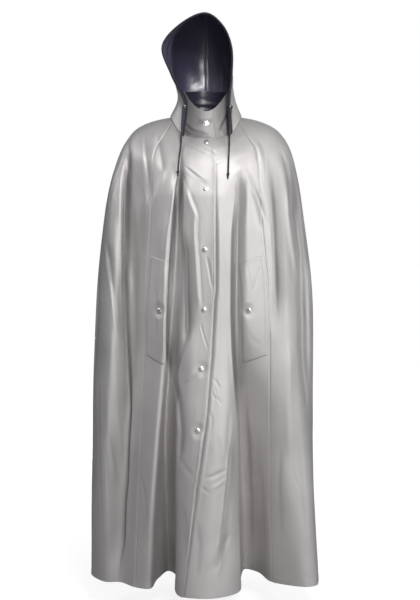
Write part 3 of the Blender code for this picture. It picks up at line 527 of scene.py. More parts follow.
def stitch_line(bm, spots, ways, stitch, pitch):
    """One row of stitches along points on the cloth, each a small rounded bar half sunk in it."""
    arcs = arcs_of(spots)
    count = max(int(arcs[-1] / pitch), 1)
    for number in range(count):
        position = (number + 0.5) * arcs[-1] / count
        start, end = (point_on(spots, arcs, position + step) for step in (-stitch / 2, stitch / 2))
        if np.linalg.norm(end - start) < stitch * 0.3:
            continue
        turned_to = facing(point_on(ways, arcs, position), end - start)
        shape = Matrix.Diagonal((stitch / 2, THREAD_WIDTH / 2, THREAD_RISE / 2, 1.0))
        bmesh.ops.create_icosphere(bm, subdivisions=1, radius=1.0,
                                   matrix=Matrix.Translation(Vector((start + end) / 2)) @ turned_to @ shape)


def stitches(name, lines):
    """All rows of stitches of one piece, as one piece of thread."""
    bm = bmesh.new()
    for spots, ways in lines:
        stitch_line(bm, np.asarray(spots), np.asarray(ways), sizes().stitch, sizes().stitch_pitch)
    item = finished(bm, name, thread_finish())
    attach(item, "root")
    return item


# ==================== finishes
def feed(tree, node, sockets):
    """Fill a node's input sockets, each with a plain value or with another node's output."""
    for key, value in dict(sockets).items():
        if isinstance(value, bpy.types.NodeSocket):
            tree.links.new(value, node.inputs[key])
        else:
            node.inputs[key].default_value = value
    return node


def add(tree, kind, sockets=(), **settings):
    node = tree.nodes.new(kind)
    for key, value in settings.items():
        setattr(node, key, value)
    return feed(tree, node, sockets)


def math_node(tree, operation, first, second):
    return add(tree, "ShaderNodeMath", enumerate((first, second)), operation=operation).outputs[0]


def ramp_value(tree, value, low, high, to_low, to_high):
    """A value moved from one range to another."""
    sockets = {"Value": value, "From Min": low, "From Max": high, "To Min": to_low, "To Max": to_high}
    return add(tree, "ShaderNodeMapRange", sockets).outputs["Result"]


def noise_value(tree, place, scale, detail=2.0, distortion=0.0):
    sockets = {"Vector": place, "Scale": scale, "Detail": detail, "Distortion": distortion}
    return add(tree, "ShaderNodeTexNoise", sockets).outputs["Fac"]


def wave_value(tree, place, direction, scale, distortion, detail_scale=1.0):
    sockets = {"Vector": place, "Scale": scale, "Distortion": distortion, "Detail Scale": detail_scale}
    wave = add(tree, "ShaderNodeTexWave", sockets, wave_type="BANDS", bands_direction=direction)
    return wave.outputs["Fac"]


def bump(tree, height, strength, distance):
    sockets = {"Height": height, "Strength": strength, "Distance": distance}
    return add(tree, "ShaderNodeBump", sockets).outputs["Normal"]


def shades(tree, value, tint, stops):
    """A tint from darker to lighter: each stop is a position and the share of the tint there."""
    ramp = add(tree, "ShaderNodeValToRGB", {"Fac": value})
    for element, (position, share) in zip(ramp.color_ramp.elements, stops):
        element.position = position
        element.color = (*[min(share * part, 1) for part in tint], 1)
    return ramp.outputs["Color"]


def new_material(name):
    made = bpy.data.materials.new(name)
    made.use_nodes = True
    return made, made.node_tree, made.node_tree.nodes["Principled BSDF"]


def new_group(name, inputs, outputs):
    """A shader node group with named sockets, and its input and output nodes."""
    tree = bpy.data.node_groups.new(name, "ShaderNodeTree")
    for way, sockets in (("INPUT", inputs), ("OUTPUT", outputs)):
        for label, kind in sockets.items():
            tree.interface.new_socket(name=label, in_out=way, socket_type="NodeSocket" + kind)
    return tree, tree.nodes.new("NodeGroupInput"), tree.nodes.new("NodeGroupOutput")


def coated_grain_group():
    """Coated cloth: cloudy tone, painted shade in the folds, and the weave, pebble and crumple of its face."""
    name = "coated cloth grain"
    if name in bpy.data.node_groups:
        return bpy.data.node_groups[name]
    numbers = ("Roughness", "Cloudiness", "Weave", "Pebble", "Crumple", "Hollow")
    inputs = {"Object": "Vector", "Cloth": "Vector", "Colour": "Color", **dict.fromkeys(numbers, "Float")}
    outputs = {"Colour": "Color", "Roughness": "Float", "Height": "Float"}
    tree, entry, result = new_group(name, inputs, outputs)
    given = entry.outputs
    cloud = noise_value(tree, given["Object"], 7.0, detail=4.0)
    pebble = noise_value(tree, given["Object"], 850.0)
    stretch = add(tree, "ShaderNodeMapping", {"Vector": given["Object"], "Scale": (1, 1, 0.45)})
    crumple = noise_value(tree, stretch.outputs["Vector"], 48.0, detail=3.0, distortion=0.6)
    threads = [wave_value(tree, given["Cloth"], way, 320.0, 0.6, 0.4) for way in ("X", "Y")]
    weave = math_node(tree, "MULTIPLY", *threads)
    shade = math_node(tree, "MULTIPLY", ramp_value(tree, cloud, 0.3, 0.7, -1.0, 1.0), given["Cloudiness"])
    shade = math_node(tree, "ADD", shade, ramp_value(tree, pebble, 0.35, 0.65, -0.012, 0.012))
    shade = math_node(tree, "ADD", shade, 1.0)
    # painted shade: the colour is darkened by the mesh attribute that holds the painted shade
    shade = math_node(tree, "MULTIPLY", shade, ramp_value(tree, given["Hollow"], 0.0, 1.0, 1.0, PAINTED_SHADE_KEEPS))
    grey = add(tree, "ShaderNodeCombineColor", dict.fromkeys(("Red", "Green", "Blue"), shade))
    tint = add(tree, "ShaderNodeMix", data_type="RGBA", blend_type="MULTIPLY")
    feed(tree, tint, {"Factor": 1.0, "A": given["Colour"], "B": grey.outputs["Color"]})
    rough = math_node(tree, "ADD", ramp_value(tree, cloud, 0.3, 0.7, -0.05, 0.05), given["Roughness"])
    height = math_node(tree, "MULTIPLY", weave, given["Weave"])
    for grain, strength in ((pebble, "Pebble"), (crumple, "Crumple")):
        height = math_node(tree, "ADD", height, math_node(tree, "MULTIPLY", grain, given[strength]))
    feed(tree, result, {"Colour": tint.outputs["Result"], "Roughness": rough, "Height": height})
    return tree


def coated_finish(name, tint, depth, grain, shine):
    """A coated cloth material: grain fills the shared group's sockets, and shine the shader's own."""
    if name in bpy.data.materials:
        return bpy.data.materials[name]
    made, tree, shader = new_material(name)
    places = {
        "Object": add(tree, "ShaderNodeTexCoord").outputs["Object"],
        "Cloth": add(tree, "ShaderNodeUVMap", uv_map="cloth").outputs["UV"],
        # the mesh attribute that holds the painted shade
        "Hollow": add(tree, "ShaderNodeAttribute", attribute_name="hollow").outputs["Fac"],
    }
    group = add(tree, "ShaderNodeGroup", node_tree=coated_grain_group())
    feed(tree, group, {**places, "Colour": (*tint, 1), **grain})
    made_by_grain = {"Base Color": group.outputs["Colour"], "Roughness": group.outputs["Roughness"],
                     "Normal": bump(tree, group.outputs["Height"], 0.6, depth)}
    feed(tree, shader, {**made_by_grain, **shine})
    return made


def outer_finish():
    grain = {"Roughness": 0.58, "Cloudiness": 0.05, "Weave": 0.35, "Pebble": 0.6, "Crumple": 14.0}
    shine = {"Metallic": 0.6, "Specular IOR Level": 0.5}
    return coated_finish("silver_coated_face", colours().cloth, 0.00006, grain, shine)


def inner_finish():
    grain = {"Roughness": 0.34, "Cloudiness": 0.05, "Weave": 0.6, "Pebble": 0.4, "Crumple": 10.0}
    shine = {"Specular IOR Level": 0.8, "Coat Weight": 0.7, "Coat Roughness": 0.2}
    return coated_finish("navy_inner_face", colours().inside, 0.00008, grain, shine)


def tape_finish():
    grain = {"Roughness": 0.66, "Cloudiness": 0.04, "Weave": 1.0, "Pebble": 0.3, "Crumple": 0.0}
    shine = {"Specular IOR Level": 0.35, "Sheen Weight": 0.2, "Sheen Roughness": 0.5}
    return coated_finish("navy_tape", colours().tape, 0.00025, grain, shine)


def cord_finish():
    """Braid: slanting strands crossed by others, on the cord's own map."""
    name = "navy_braid"
    if name in bpy.data.materials:
        return bpy.data.materials[name]
    made, tree, shader = new_material(name)
    cloth = add(tree, "ShaderNodeUVMap", uv_map="cloth")
    strands = []
    for slant in (3.2, -3.2):
        turn = add(tree, "ShaderNodeMapping", {"Vector": cloth.outputs["UV"], "Scale": (slant, 260.0, 1)})
        strands.append(wave_value(tree, turn.outputs["Vector"], "DIAGONAL", 1.0, 0.3))
    braid = math_node(tree, "MAXIMUM", *strands)
    # painted shade: the cord is painted darker in the grooves between the braid's strands
    feed(tree, shader, {"Base Color": shades(tree, braid, colours().cord, ((0.35, 0.45), (0.9, 1.0))),
                        "Roughness": 0.75, "Sheen Weight": 0.25, "Normal": bump(tree, braid, 0.8, 0.0005)})
    return made


def thread_finish():
    name = "silver_thread"
    if name in bpy.data.materials:
        return bpy.data.materials[name]
    made, tree, shader = new_material(name)
    twist = noise_value(tree, add(tree, "ShaderNodeTexCoord").outputs["Object"], 1400.0)
    feed(tree, shader, {"Base Color": shades(tree, twist, colours().thread, ((0.0, 0.8), (1.0, 1.15))),
                        "Roughness": 0.55})
    return made


def metal_finish():
    name = "white_metal_finish"
    if name in bpy.data.materials:
        return bpy.data.materials[name]
    made, tree, shader = new_material(name)
    wear = noise_value(tree, add(tree, "ShaderNodeTexCoord").outputs["Object"], 420.0, detail=5.0)
    feed(tree, shader, {"Base Color": (*colours().metal, 1), "Metallic": 0.8,
                        "Roughness": ramp_value(tree, wear, 0.35, 0.65, 0.2, 0.34),
                        "Normal": bump(tree, wear, 0.15, 0.00005)})
    return made


# ==================== the cloth's surface
def ring_point(ring, turn):
    sine, cosine = math.sin(math.radians(turn)), math.cos(math.radians(turn))
    depth, end_z, flatness = ring.back_depth, ring.back_z, 2.0
    if cosine > 0:
        depth, end_z, flatness = ring.front_depth, ring.front_z, ring.flatness
    z = ring.side_z + (end_z - ring.side_z) * (1 - abs(sine) ** flatness)
    return np.array((ring.half_width * sine, -depth * cosine, z)) * MM


def fold_line(fold):
    arm = fold.arm_turn - 360 if fold.arm_turn - fold.neck_turn > 180 else fold.arm_turn
    points = []
    for ring in RINGS:
        share = math.sqrt(ring.reach / RINGS[-1].reach)
        points.append(ring_point(ring, fold.neck_turn + (arm - fold.neck_turn) * share))
    for (reach, height), spot in zip(LEVELS, (fold.chest, fold.waist, fold.knee, fold.hem)):
        points.append(np.array((spot[0], spot[1], height)) * MM)
    return points


STATIONS = np.array([ring.reach for ring in RINGS] + [level[0] for level in LEVELS], float)
LINES = np.array([fold_line(fold) for fold in FOLDS])      # folds x stations x 3


def line_slopes():
    """Slopes of the fold lines at their stations, chosen so that a line never swings past its own points."""
    gaps = np.diff(STATIONS)
    steps = np.diff(LINES, axis=1) / gaps[None, :, None]
    slopes = np.empty_like(LINES)
    slopes[:, 0], slopes[:, -1] = steps[:, 0], steps[:, -1]
    for at in range(1, len(STATIONS) - 1):
        before, after = steps[:, at - 1], steps[:, at]
        weight_before, weight_after = 2 * gaps[at] + gaps[at - 1], gaps[at] + 2 * gaps[at - 1]
        same = before * after > 0
        safe_before, safe_after = np.where(same, before, 1.0), np.where(same, after, 1.0)
        mean = (weight_before + weight_after) / (weight_before / safe_before + weight_after / safe_after)
        slopes[:, at] = np.where(same, mean, 0.0)
    return slopes


SLOPES = line_slopes()


def fold_at(numbers, reaches):
    """Points of the numbered fold lines at distances down the cloth; both arrays have one shape."""
    numbers = np.asarray(numbers) % len(FOLDS)
    low = np.clip(np.searchsorted(STATIONS, reaches) - 1, 0, len(STATIONS) - 2)
    gap = (STATIONS[low + 1] - STATIONS[low])[..., None]
    return cubic(LINES[numbers, low], LINES[numbers, low + 1], SLOPES[numbers, low], SLOPES[numbers, low + 1],
                 gap, (reaches - STATIONS[low])[..., None] / gap)


def cape_points(places, reaches):
    """Points of the cape's cloth. A place round it is a fold's number plus the share of the way to the next."""
    places, reaches = np.broadcast_arrays(np.asarray(places, float), np.asarray(reaches, float))
    low = np.floor(places).astype(int)
    ring = [fold_at(low + step, reaches) for step in (-1, 0, 1, 2)]
    gaps = [np.sqrt(np.linalg.norm(ring[step + 1] - ring[step], axis=-1))[..., None] for step in range(3)]
    return hermite(*ring, *gaps, (places - low)[..., None])


def front_lap(places):
    """How far the upper front stands off the lower one where it laps over it."""
    return LAP_LIFT * MM * eased((places - FOLD_AT[LAP_STARTS]) / (FOLD_AT[LAP_FULL] - FOLD_AT[LAP_STARTS]))


Side = namedtuple("Side", "way across")
SIDES = {   # the way to each side, and the axis that runs across it
    "front": Side(FRONT, 0),
    "back": Side((0, 1, 0), 0),
    "left": Side((1, 0, 0), 1),
    "right": Side((-1, 0, 0), 1),
}
STAND_OFF, EYE_ACROSS, EYE_HEIGHT = 3.2, 0.0116, -0.377     # where the creases are seen from, on each side
PAINTED_SHADE_DEPTH = 9.0                    # a fold this deep in millimetres gets the full painted shade
PAINTED_SHADE_KEEPS = 0.42                   # share of its colour that the cloth keeps under the full painted shade
HELD_REACH = (0.009, 0.026)           # the cloth keeps its place next to a snap, and is free beyond this
HELD_SPOTS = []                       # where the snaps hold it


def seen_from(points, side):
    """Points as they are seen from a side, on the upright plane through the origin."""
    near = STAND_OFF / (STAND_OFF - points @ np.array(side.way, float))
    across = EYE_ACROSS + (points[..., side.across] - EYE_ACROSS) * near
    return np.stack((across, EYE_HEIGHT + (points[..., 2] - EYE_HEIGHT) * near), axis=-1)


def crease_height(points, outward):
    """How far the creases move each point of the cloth outward, and the painted shade that its folds get."""
    height, hollow = np.zeros(points.shape[:2]), np.zeros(points.shape[:2])
    views = {}
    for name, side in SIDES.items():
        facing_it = np.clip((outward @ np.array(side.way, float) + 0.15) / 0.4, 0, 1)
        views[name] = seen_from(points, side), facing_it
    for crease in CREASES:
        flat, towards = views[crease.side]
        line = np.array(crease.points) * MM
        reach = 2.8 * MM * max(crease.left, crease.right)
        near = ((flat > line.min(0) - reach) & (flat < line.max(0) + reach)).all(-1) & (towards > 0)
        if not near.any():
            continue
        gap, stretch, share = beside(flat[near], line)
        runs = np.diff(line, axis=0)
        lengths = np.linalg.norm(runs, axis=1)
        gone = ((np.cumsum(lengths) - lengths)[stretch] + share * lengths[stretch]) / lengths.sum()
        away = flat[near] - line[stretch]
        on_right = runs[stretch, 0] * away[:, 1] > runs[stretch, 1] * away[:, 0]
        strength = tapered(gone) * towards[near]
        width = np.where(on_right, crease.right, crease.left) * MM
        spread = gap / (width * (0.6 + 0.4 * tapered(gone)))
        lip = 0.5 * np.clip(1 - width / 0.010, 0, 1)       # a narrow crease pushes up a lip on either hand
        shape = np.exp(-spread ** 1.6) - lip * np.exp(-((spread - 2.1) / 0.9) ** 2)
        height[near] -= crease.depth * MM * shape * strength
        # painted shade: a fold's right-hand wall, as seen from its side, is painted darker, and its left-hand
        # wall a little
        if crease.depth > 0:
            right_wall, left_wall = np.exp(-((spread - 0.55) / 0.65) ** 2), 0.49 * np.exp(-(spread / 0.5) ** 2)
            wall_shade = np.where(on_right, right_wall, left_wall)
            hollow[near] += crease.depth / PAINTED_SHADE_DEPTH * wall_shade * strength
    for spot in HELD_SPOTS:
        gap = np.linalg.norm(points - spot, axis=-1)
        height *= eased((gap - HELD_REACH[0]) / (HELD_REACH[1] - HELD_REACH[0]))
    return height, np.clip(hollow, 0, 1)


def soft_noise(points, scale, stretch, seed):
    """Slow uneven swell of the cloth, longer down than across."""
    shift = Vector((seed * 3.1, seed * 1.7, seed * 5.3))
    flat = points.reshape(-1, 3)
    values = [noise.noise(Vector((x * scale, y * scale, z * scale / stretch)) + shift) for x, y, z in flat]
    return np.array(values).reshape(points.shape[:2])


class Sheet:
    """A laid-out panel: its points, outward directions and the distances that a maker would measure on it.

    Its lines of points each come with the outward directions there, for a row of stitches.
    """

    def __init__(self, points, reaches, outward=None, hollow=0.0):
        self.points = points
        self.outward = outward_of(points) if outward is None else outward
        self.reaches = reaches
        self.arcs = arcs_of(points)
        # how much painted shade each point gets
        self.hollow = np.clip(np.broadcast_to(hollow, points.shape[:2]), 0, 1)

    def spot(self, edge, distance, reach, lift=0.0):
        """Point and outward direction a distance in from the first or last edge, at a reach down the cloth."""
        row = float(np.interp(reach, self.reaches, np.arange(len(self.reaches))))
        low = min(int(row), len(self.reaches) - 2)
        found = []
        for at in (low, low + 1):
            arcs = self.arcs[at]
            wanted = distance if edge == "first" else arcs[-1] - distance
            found.append([point_on(grid[at], arcs, wanted) for grid in (self.points, self.outward)])
        here, way = np.array(found[0]) * (1 - row + low) + np.array(found[1]) * (row - low)
        return here + unit(way) * lift, unit(way)

    def line(self, edge, distance, from_reach, to_reach):
        """A line down the sheet, at a fixed distance from an edge."""
        reaches = np.linspace(from_reach, to_reach, max(int(abs(to_reach - from_reach) / 5), 2))
        return zip(*(self.spot(edge, distance, reach, skin()) for reach in reaches))

    def row_line(self, reach, inset=0.004):
        """A line across the sheet, at a distance down the cloth."""
        width = float(np.interp(reach, self.reaches, self.arcs[:, -1]))
        across = np.linspace(inset, width - inset, max(int(width / 0.005), 2))
        return zip(*(self.spot("first", distance, reach, skin()) for distance in across))

    def path(self, shares, lift=None):
        """A line through spots given as shares of the way down and across the sheet."""
        line = np.array(shares, float) * (np.array(self.points.shape[:2]) - 1)
        found = []
        for at in np.linspace(0, len(line) - 1, 60):
            place = np.array([np.interp(at, range(len(line)), line[:, axis]) for axis in (0, 1)])
            row, column = np.minimum(place.astype(int), np.array(self.points.shape[:2]) - 2)
            down, over = place - (row, column)
            mix = np.outer((1 - down, down), (1 - over, over))[..., None]
            here, way = ((mix * grid[row:row + 2, column:column + 2]).sum((0, 1))
                         for grid in (self.points, self.outward))
            found.append((here + unit(way) * (skin() if lift is None else lift), unit(way)))
        return zip(*found)


SHEETS = {}


def panel_sheet(panel):
    """Lay out one panel: finer next to its edges, dipped into its seams, swollen and creased, with painted shade.
    """
    own = sizes()
    start, end = FOLD_AT[panel.first], FOLD_AT[panel.last]
    if end <= start:
        end += len(FOLDS)
    insets = np.array(EDGE_INSETS)
    margin = insets[-1] + panel.row_gap
    middle = np.linspace(margin, HEM - margin, int(HEM / panel.row_gap))
    reaches = np.concatenate((insets, middle, HEM - insets[::-1]))
    down = reaches[:, None]
    fine = np.linspace(start, end, 36 * (end - start) + 1)
    arcs = arcs_of(cape_points(fine[None, :], down))
    total = arcs[:, -1:]
    inset = insets[None, :] * MM * np.minimum(1, total / 0.08)
    shares = np.linspace(0, 1, panel.columns - 2 * len(insets) + 2)[1:-1]
    inner = inset[:, -1:] + (total - 2 * inset[:, -1:]) * shares[None, :]
    wanted = np.concatenate((inset, inner, total - inset[:, ::-1]), axis=1)
    places = np.array([np.interp(wanted[row], arcs[row], fine) for row in range(len(reaches))])
    points = cape_points(places, down)
    outward = outward_of(points)
    if panel.name == "front_right":
        edge_lift = FREE_EDGE_LIFT * np.exp(-(total - wanted) / FREE_EDGE_REACH)
        points = points + outward * (front_lap(places) + edge_lift)[..., None]
    height = np.zeros(points.shape[:2])
    for edge in panel.sewn:
        distance = wanted if edge == "first" else total - wanted
        height -= own.seam_depth * np.exp(-(distance / SEAM_REACH) ** 2)
        pucker = np.sin(down * 0.43 + 2 * np.sin(down * 0.031)) * np.exp(-distance / 0.009)
        height += PUCKER * pucker * (1 - np.exp(-(distance / 0.003) ** 2))
    fade = np.clip(down / 160, 0, 1)
    for rise, scale, stretch, seed in SWELLS:
        height += rise * fade * soft_noise(points, scale, stretch, seed)
    creased, hollow = crease_height(points, outward)
    hem_fold = 0.0005 * np.clip((own.hem_width - (HEM - down) * MM) / 0.002, 0, 1)
    points = points + outward * (height + creased + hem_fold)[..., None]
    # painted shadow under the collar: the cloth is painted darker just below the neckline
    return Sheet(points, reaches, hollow=hollow + 0.55 * np.exp(-down / 16))


def flat_size(sheet):
    """The cut of a laid-out sheet: its width and length, and its flat area."""
    arcs = sheet.arcs
    down = arcs_of(sheet.points.transpose(1, 0, 2))[:, -1]
    quads = np.cross(np.diff(sheet.points, axis=1)[:-1], np.diff(sheet.points, axis=0)[:, :-1])
    area = float(np.linalg.norm(quads, axis=-1).sum())
    width, size = float(arcs[:, -1].max()), float(down.max())
    return (round(width, 3), round(size, 3)), round(min(area, width * size), 3)


def sew(node, sheet, lines, finishes=None, thickness=None):
    """Make a laid-out sheet a piece of cloth with its stitches, in place of its solid."""
    finishes = finishes or [outer_finish(), inner_finish()]
    u = sheet.arcs - sheet.arcs[:, sheet.arcs.shape[1] // 2, None]
    v = np.broadcast_to((sheet.reaches * MM)[:, None], u.shape)
    name = node + "_cloth"
    item = grid_mesh(name, sheet.points, sheet.outward, finishes, np.stack((u, v), axis=-1), sheet.hollow)
    give_wall(item, thickness or sizes().wall, len(finishes) - 1)
    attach(item, "root")
    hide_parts(node)
    thread = stitches(name + "_stitches", lines)
    flat, area = flat_size(sheet)


class CAPE_OT_body(bpy.types.Operator):
    """Build the cape's five panels with their seams, hem and creases"""

    bl_idname = "cape.body"
    bl_label = "Body panels"

    def execute(self, context):
        HELD_SPOTS[:] = [seat_of(name, FRONT)[0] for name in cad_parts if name.startswith("snap_")]
        for panel in PANELS:
            SHEETS[panel.name] = sheet = panel_sheet(panel)
            lines = [sheet.row_line(HEM - sizes().hem_width / MM + HEM_STITCH_INSET)]
            for edge, inset, start in panel.stitched:
                lines.append(sheet.line(edge, inset * MM, start, HEM - STITCHES_END))
            sew(panel.name, sheet, lines)
        return {"FINISHED"}


# ==================== welts over the arm slits
WELT_TOP, WELT_BOTTOM, WELT_SLANT, WELT_FROM_SEAM = 392, 677, 24, 11
WELT_LIFT, WELT_GAPE, WELT_WAVE, WELT_DIP = 0.0013, 0.0015, 0.0005, 0.0004
WELT_DIP_SHARE = 0.06                 # the sewn edge dips over this share of the width
WELT_END_STITCHES = (3.5, 9.5)        # two rows across each end


def welt_sheet(base, edge, width):
    """A welt over its front, sewn down along the seam and at both ends, and a little open at its free edge."""
    rows, columns = 74, 24
    points = np.empty((rows, columns, 3))
    for row, down in enumerate(np.linspace(0, 1, rows)):
        free = min(1, min(down, 1 - down) * 6)
        for column, share in enumerate(np.linspace(0, 1, columns)):
            reach = WELT_TOP + (WELT_BOTTOM - WELT_TOP) * down + WELT_SLANT * share
            lift = WELT_LIFT + free * (WELT_GAPE * share ** 0.8 + WELT_WAVE * math.sin(down * 9 + 1) * share)
            if share < WELT_DIP_SHARE:
                lift -= WELT_DIP
            points[row, column] = base.spot(edge, WELT_FROM_SEAM * MM + width * share, reach, lift)[0]
    reaches = np.linspace(0, WELT_BOTTOM - WELT_TOP, rows)
    return Sheet(points, reaches, outward_of(points, 1.0 if edge == "first" else -1.0))


class CAPE_OT_welts(bpy.types.Operator):
    """Build the two welts over the arm slits"""

    bl_idname = "cape.welts"
    bl_label = "Arm-slit welts"

    def execute(self, context):
        own = sizes()
        welts = (("right", "first", own.welt_width_right), ("left", "last", own.welt_width_left))
        for side, edge, width in welts:
            sheet = welt_sheet(SHEETS["front_" + side], edge, width)
            near, far = (inset / (WELT_BOTTOM - WELT_TOP) for inset in WELT_END_STITCHES)
            lines = [sheet.path(((0.01, 0.05), (0.99, 0.05))), sheet.path(((0.04, 0.94), (0.96, 0.94)))]
            lines += [sheet.path(((end, 0.05), (end, 0.94))) for end in (near, far, 1 - near, 1 - far)]
            sew("welt_" + side, sheet, lines)
        return {"FINISHED"}


# ==================== collar
COLLAR_FOLDS = (   # turn from, turn to, share of the height at both ends, width as a share, depth
    (-24, 19, 0.62, 0.70, 0.055, 1.3),
    (-62, 8, 0.36, 0.20, 0.06, 1.9),
    (-50, 14, 0.16, 0.10, 0.05, 1.2),
    (24, 70, 0.30, 0.62, 0.07, 1.7),
    (60, 120, 0.55, 0.34, 0.08, 1.5),
    (130, 215, 0.42, 0.58, 0.08, 1.4),
    (225, 292, 0.50, 0.30, 0.08, 1.6),
)
COLLAR_PAINTED_SHADE = 0.75         # painted shade over the whole collar


def collar_sheet():
    turns = np.linspace(COLLAR_UNDER_TURN, COLLAR_OVER_TURN, 300)
    shares = np.concatenate((np.linspace(0, 0.9, 24), (0.935, 0.965, 0.985, 1.0)))
    points = np.empty((len(shares), len(turns), 3))
    for column, turn in enumerate(turns):
        line = np.array([ring_point(ring, turn) for ring in (COLLAR_FOOT, COLLAR_WAIST, COLLAR_TOP)])
        points[:, column] = [along((0, 0.5, 1), line, share) for share in shares]
    outward = outward_of(points, -1.0)
    tuck = eased((COLLAR_TUCK_TURN - turns) / (COLLAR_TUCK_TURN + 360 - COLLAR_OVER_TURN - 2))
    height = np.zeros(points.shape[:2]) - COLLAR_TUCK * MM * tuck
    # painted shade: the whole collar is painted darker
    hollow = np.full(points.shape[:2], COLLAR_PAINTED_SHADE)
    for low, high, from_share, to_share, width, depth in COLLAR_FOLDS:
        for whole in (0, 360):
            gone = (turns - whole - low) / (high - low)
            middle = from_share + (to_share - from_share) * np.clip(gone, 0, 1)
            distance = (shares[:, None] - middle) / width
            lips = np.exp(-(distance - 1.8) ** 2) + np.exp(-(distance + 1.8) ** 2)
            height -= depth * MM * (np.exp(-distance ** 2) - 0.4 * lips) * tapered(gone)
            # painted shade along each crease of the collar
            hollow += 0.4 * depth * np.exp(-(distance + 0.3) ** 2) * tapered(gone)
    height += 0.0006 * soft_noise(points, 30.0, 1.0, 7)
    points = points + outward * height[..., None]
    return Sheet(points, shares * 90, outward_of(points, -1.0), hollow)


class CAPE_OT_collar(bpy.types.Operator):
    """Build the stand collar with its lapped tab"""

    bl_idname = "cape.collar"
    bl_label = "Collar"

    def execute(self, context):
        sheet = collar_sheet()
        top = sheet.path([(0.87, at) for at in np.linspace(0.004, 0.992, 80)])
        tab = sheet.path(((0.05, 0.992), (0.87, 0.992)))
        sew("collar", sheet, [top, tab])
        return {"FINISHED"}


# ==================== hood and its casing
def foot_on_yoke(turn):
    turns = np.array([fold.neck_turn for fold in FOLDS] + [FOLDS[0].neck_turn + 360])
    wanted = (turn - turns[0]) % 360 + turns[0]
    spot = float(np.interp(wanted, turns, np.arange(len(turns))))
    lap = float(front_lap(spot)) if spot <= FOLD_AT["front_edge"] else 0.0
    here = cape_points(spot, HOOD_FOOT_REACH)
    across = cape_points(spot + 0.01, HOOD_FOOT_REACH) - cape_points(spot - 0.01, HOOD_FOOT_REACH)
    down = cape_points(spot, HOOD_FOOT_REACH + 1) - cape_points(spot, HOOD_FOOT_REACH - 1)
    return here + unit(np.cross(down, across)) * (HOOD_FOOT_LIFT * MM + lap)


def hoop_points(hoop, side):
    foot = foot_on_yoke(side * hoop.foot_turn)
    top = np.array((0, hoop.top_y, hoop.top_z)) * MM
    points = [foot]
    for rim, (rise, width) in zip(RIM, HOOP_RIGHT_SIDE if side < 0 else HOOP_LEFT_SIDE):
        rim_x = rim.right_x if side < 0 else rim.left_x
        if hoop.name == "rim":
            points.append(np.array((rim_x, rim.y, rim.height)) * MM)
            continue
        spot = foot + (top - foot) * rise
        own_x = side * hoop.half_width * width
        spot[0] = (own_x + (rim_x - own_x) * hoop.rim_share) * MM
        points.append(spot)
    points.append(top)
    return points


def last_hoop(side):
    points = [foot_on_yoke(side * turn) for turn in np.linspace(HOOP_LAST_TURN, 180, len(RIM) + 2)]
    points[-1][0] = 0
    return points


def hood_grid():
    grid = []
    for hoop in HOOPS:
        right, left = hoop_points(hoop, -1), hoop_points(hoop, 1)
        grid.append(right + left[-2::-1])
    right, left = last_hoop(-1), last_hoop(1)
    grid.append(right + left[-2::-1])
    return np.array(grid)


def hood_point(grid, over, back):
    hoops = np.linspace(0, 1, len(grid))
    arch = along(hoops, grid, back)
    gaps = np.linalg.norm(np.diff(arch, axis=0), axis=1) ** 0.5
    stations = np.concatenate(([0], np.cumsum(gaps)))
    middle = stations[len(stations) // 2]
    position = middle * (1 + over) if over <= 0 else middle + (stations[-1] - middle) * over
    return along(stations, arch, position)


def seat_foot(grid, back, side):
    turns = [hoop.foot_turn for hoop in HOOPS] + [HOOP_LAST_TURN]
    turn = float(np.interp(back, np.linspace(0, 1, len(turns)), turns))
    return foot_on_yoke(side * turn) - hood_point(grid, side, back)


HOOD_FOLDS = (   # over and back at both ends, width in metres, depth in millimetres
    ((-0.72, 0.04), (-0.30, 0.34), 0.016, 2.6),
    ((-0.90, 0.10), (-0.62, 0.52), 0.015, 2.4),
    ((-0.55, 0.02), (-0.16, 0.20), 0.012, 1.8),
    ((-0.96, 0.34), (-0.50, 0.80), 0.018, 2.6),
    ((-0.40, 0.48), (-0.10, 0.86), 0.018, 2.2),
    ((0.74, 0.04), (0.34, 0.30), 0.015, 2.2),
    ((0.92, 0.10), (0.60, 0.56), 0.016, 2.6),
    ((0.50, 0.03), (0.18, 0.22), 0.012, 1.6),
    ((0.97, 0.36), (0.46, 0.76), 0.018, 2.4),
    ((0.36, 0.50), (0.12, 0.90), 0.016, 2.0),
)


def hood_points(grid, overs, backs):
    points = np.array([[hood_point(grid, over, back) for over in overs] for back in backs])
    for row, back in enumerate(backs):
        moves = {side: seat_foot(grid, back, side) for side in (-1, 1)}
        for column, over in enumerate(overs):
            points[row, column] += moves[-1 if over < 0 else 1] * abs(over) ** 6
    return points


def away_from_head(points, outward):
    """Outward directions turned so that they leave the head."""
    middle = points[points.shape[0] // 2, points.shape[1] // 2]
    way = outward[points.shape[0] // 2, points.shape[1] // 2]
    return outward if way @ (middle - np.array((0, 0, 0.12))) > 0 else -outward


def hood_height(grid, points):
    """How far the hood's creases move each of its points."""
    height = np.zeros(points.shape[:2])
    for (over_a, back_a), (over_b, back_b), width, depth in HOOD_FOLDS:
        overs = np.linspace(over_a, over_b, 9)
        backs = np.linspace(back_a, back_b, 9) + 0.03 * np.sin(np.linspace(0, math.pi, 9))
        line = np.array([hood_point(grid, over, back) for over, back in zip(overs, backs)])
        gone = np.linalg.norm(points[:, :, None] - line, axis=-1).argmin(-1) / (len(line) - 1)
        taper = np.clip(np.minimum(gone, 1 - gone) * 3 + 0.1, 0, 1)
        spread = beside(points, line)[0] / width
        height -= depth * MM * taper * (np.exp(-spread ** 2) - 0.4 * np.exp(-(spread - 1.7) ** 2))
    return height


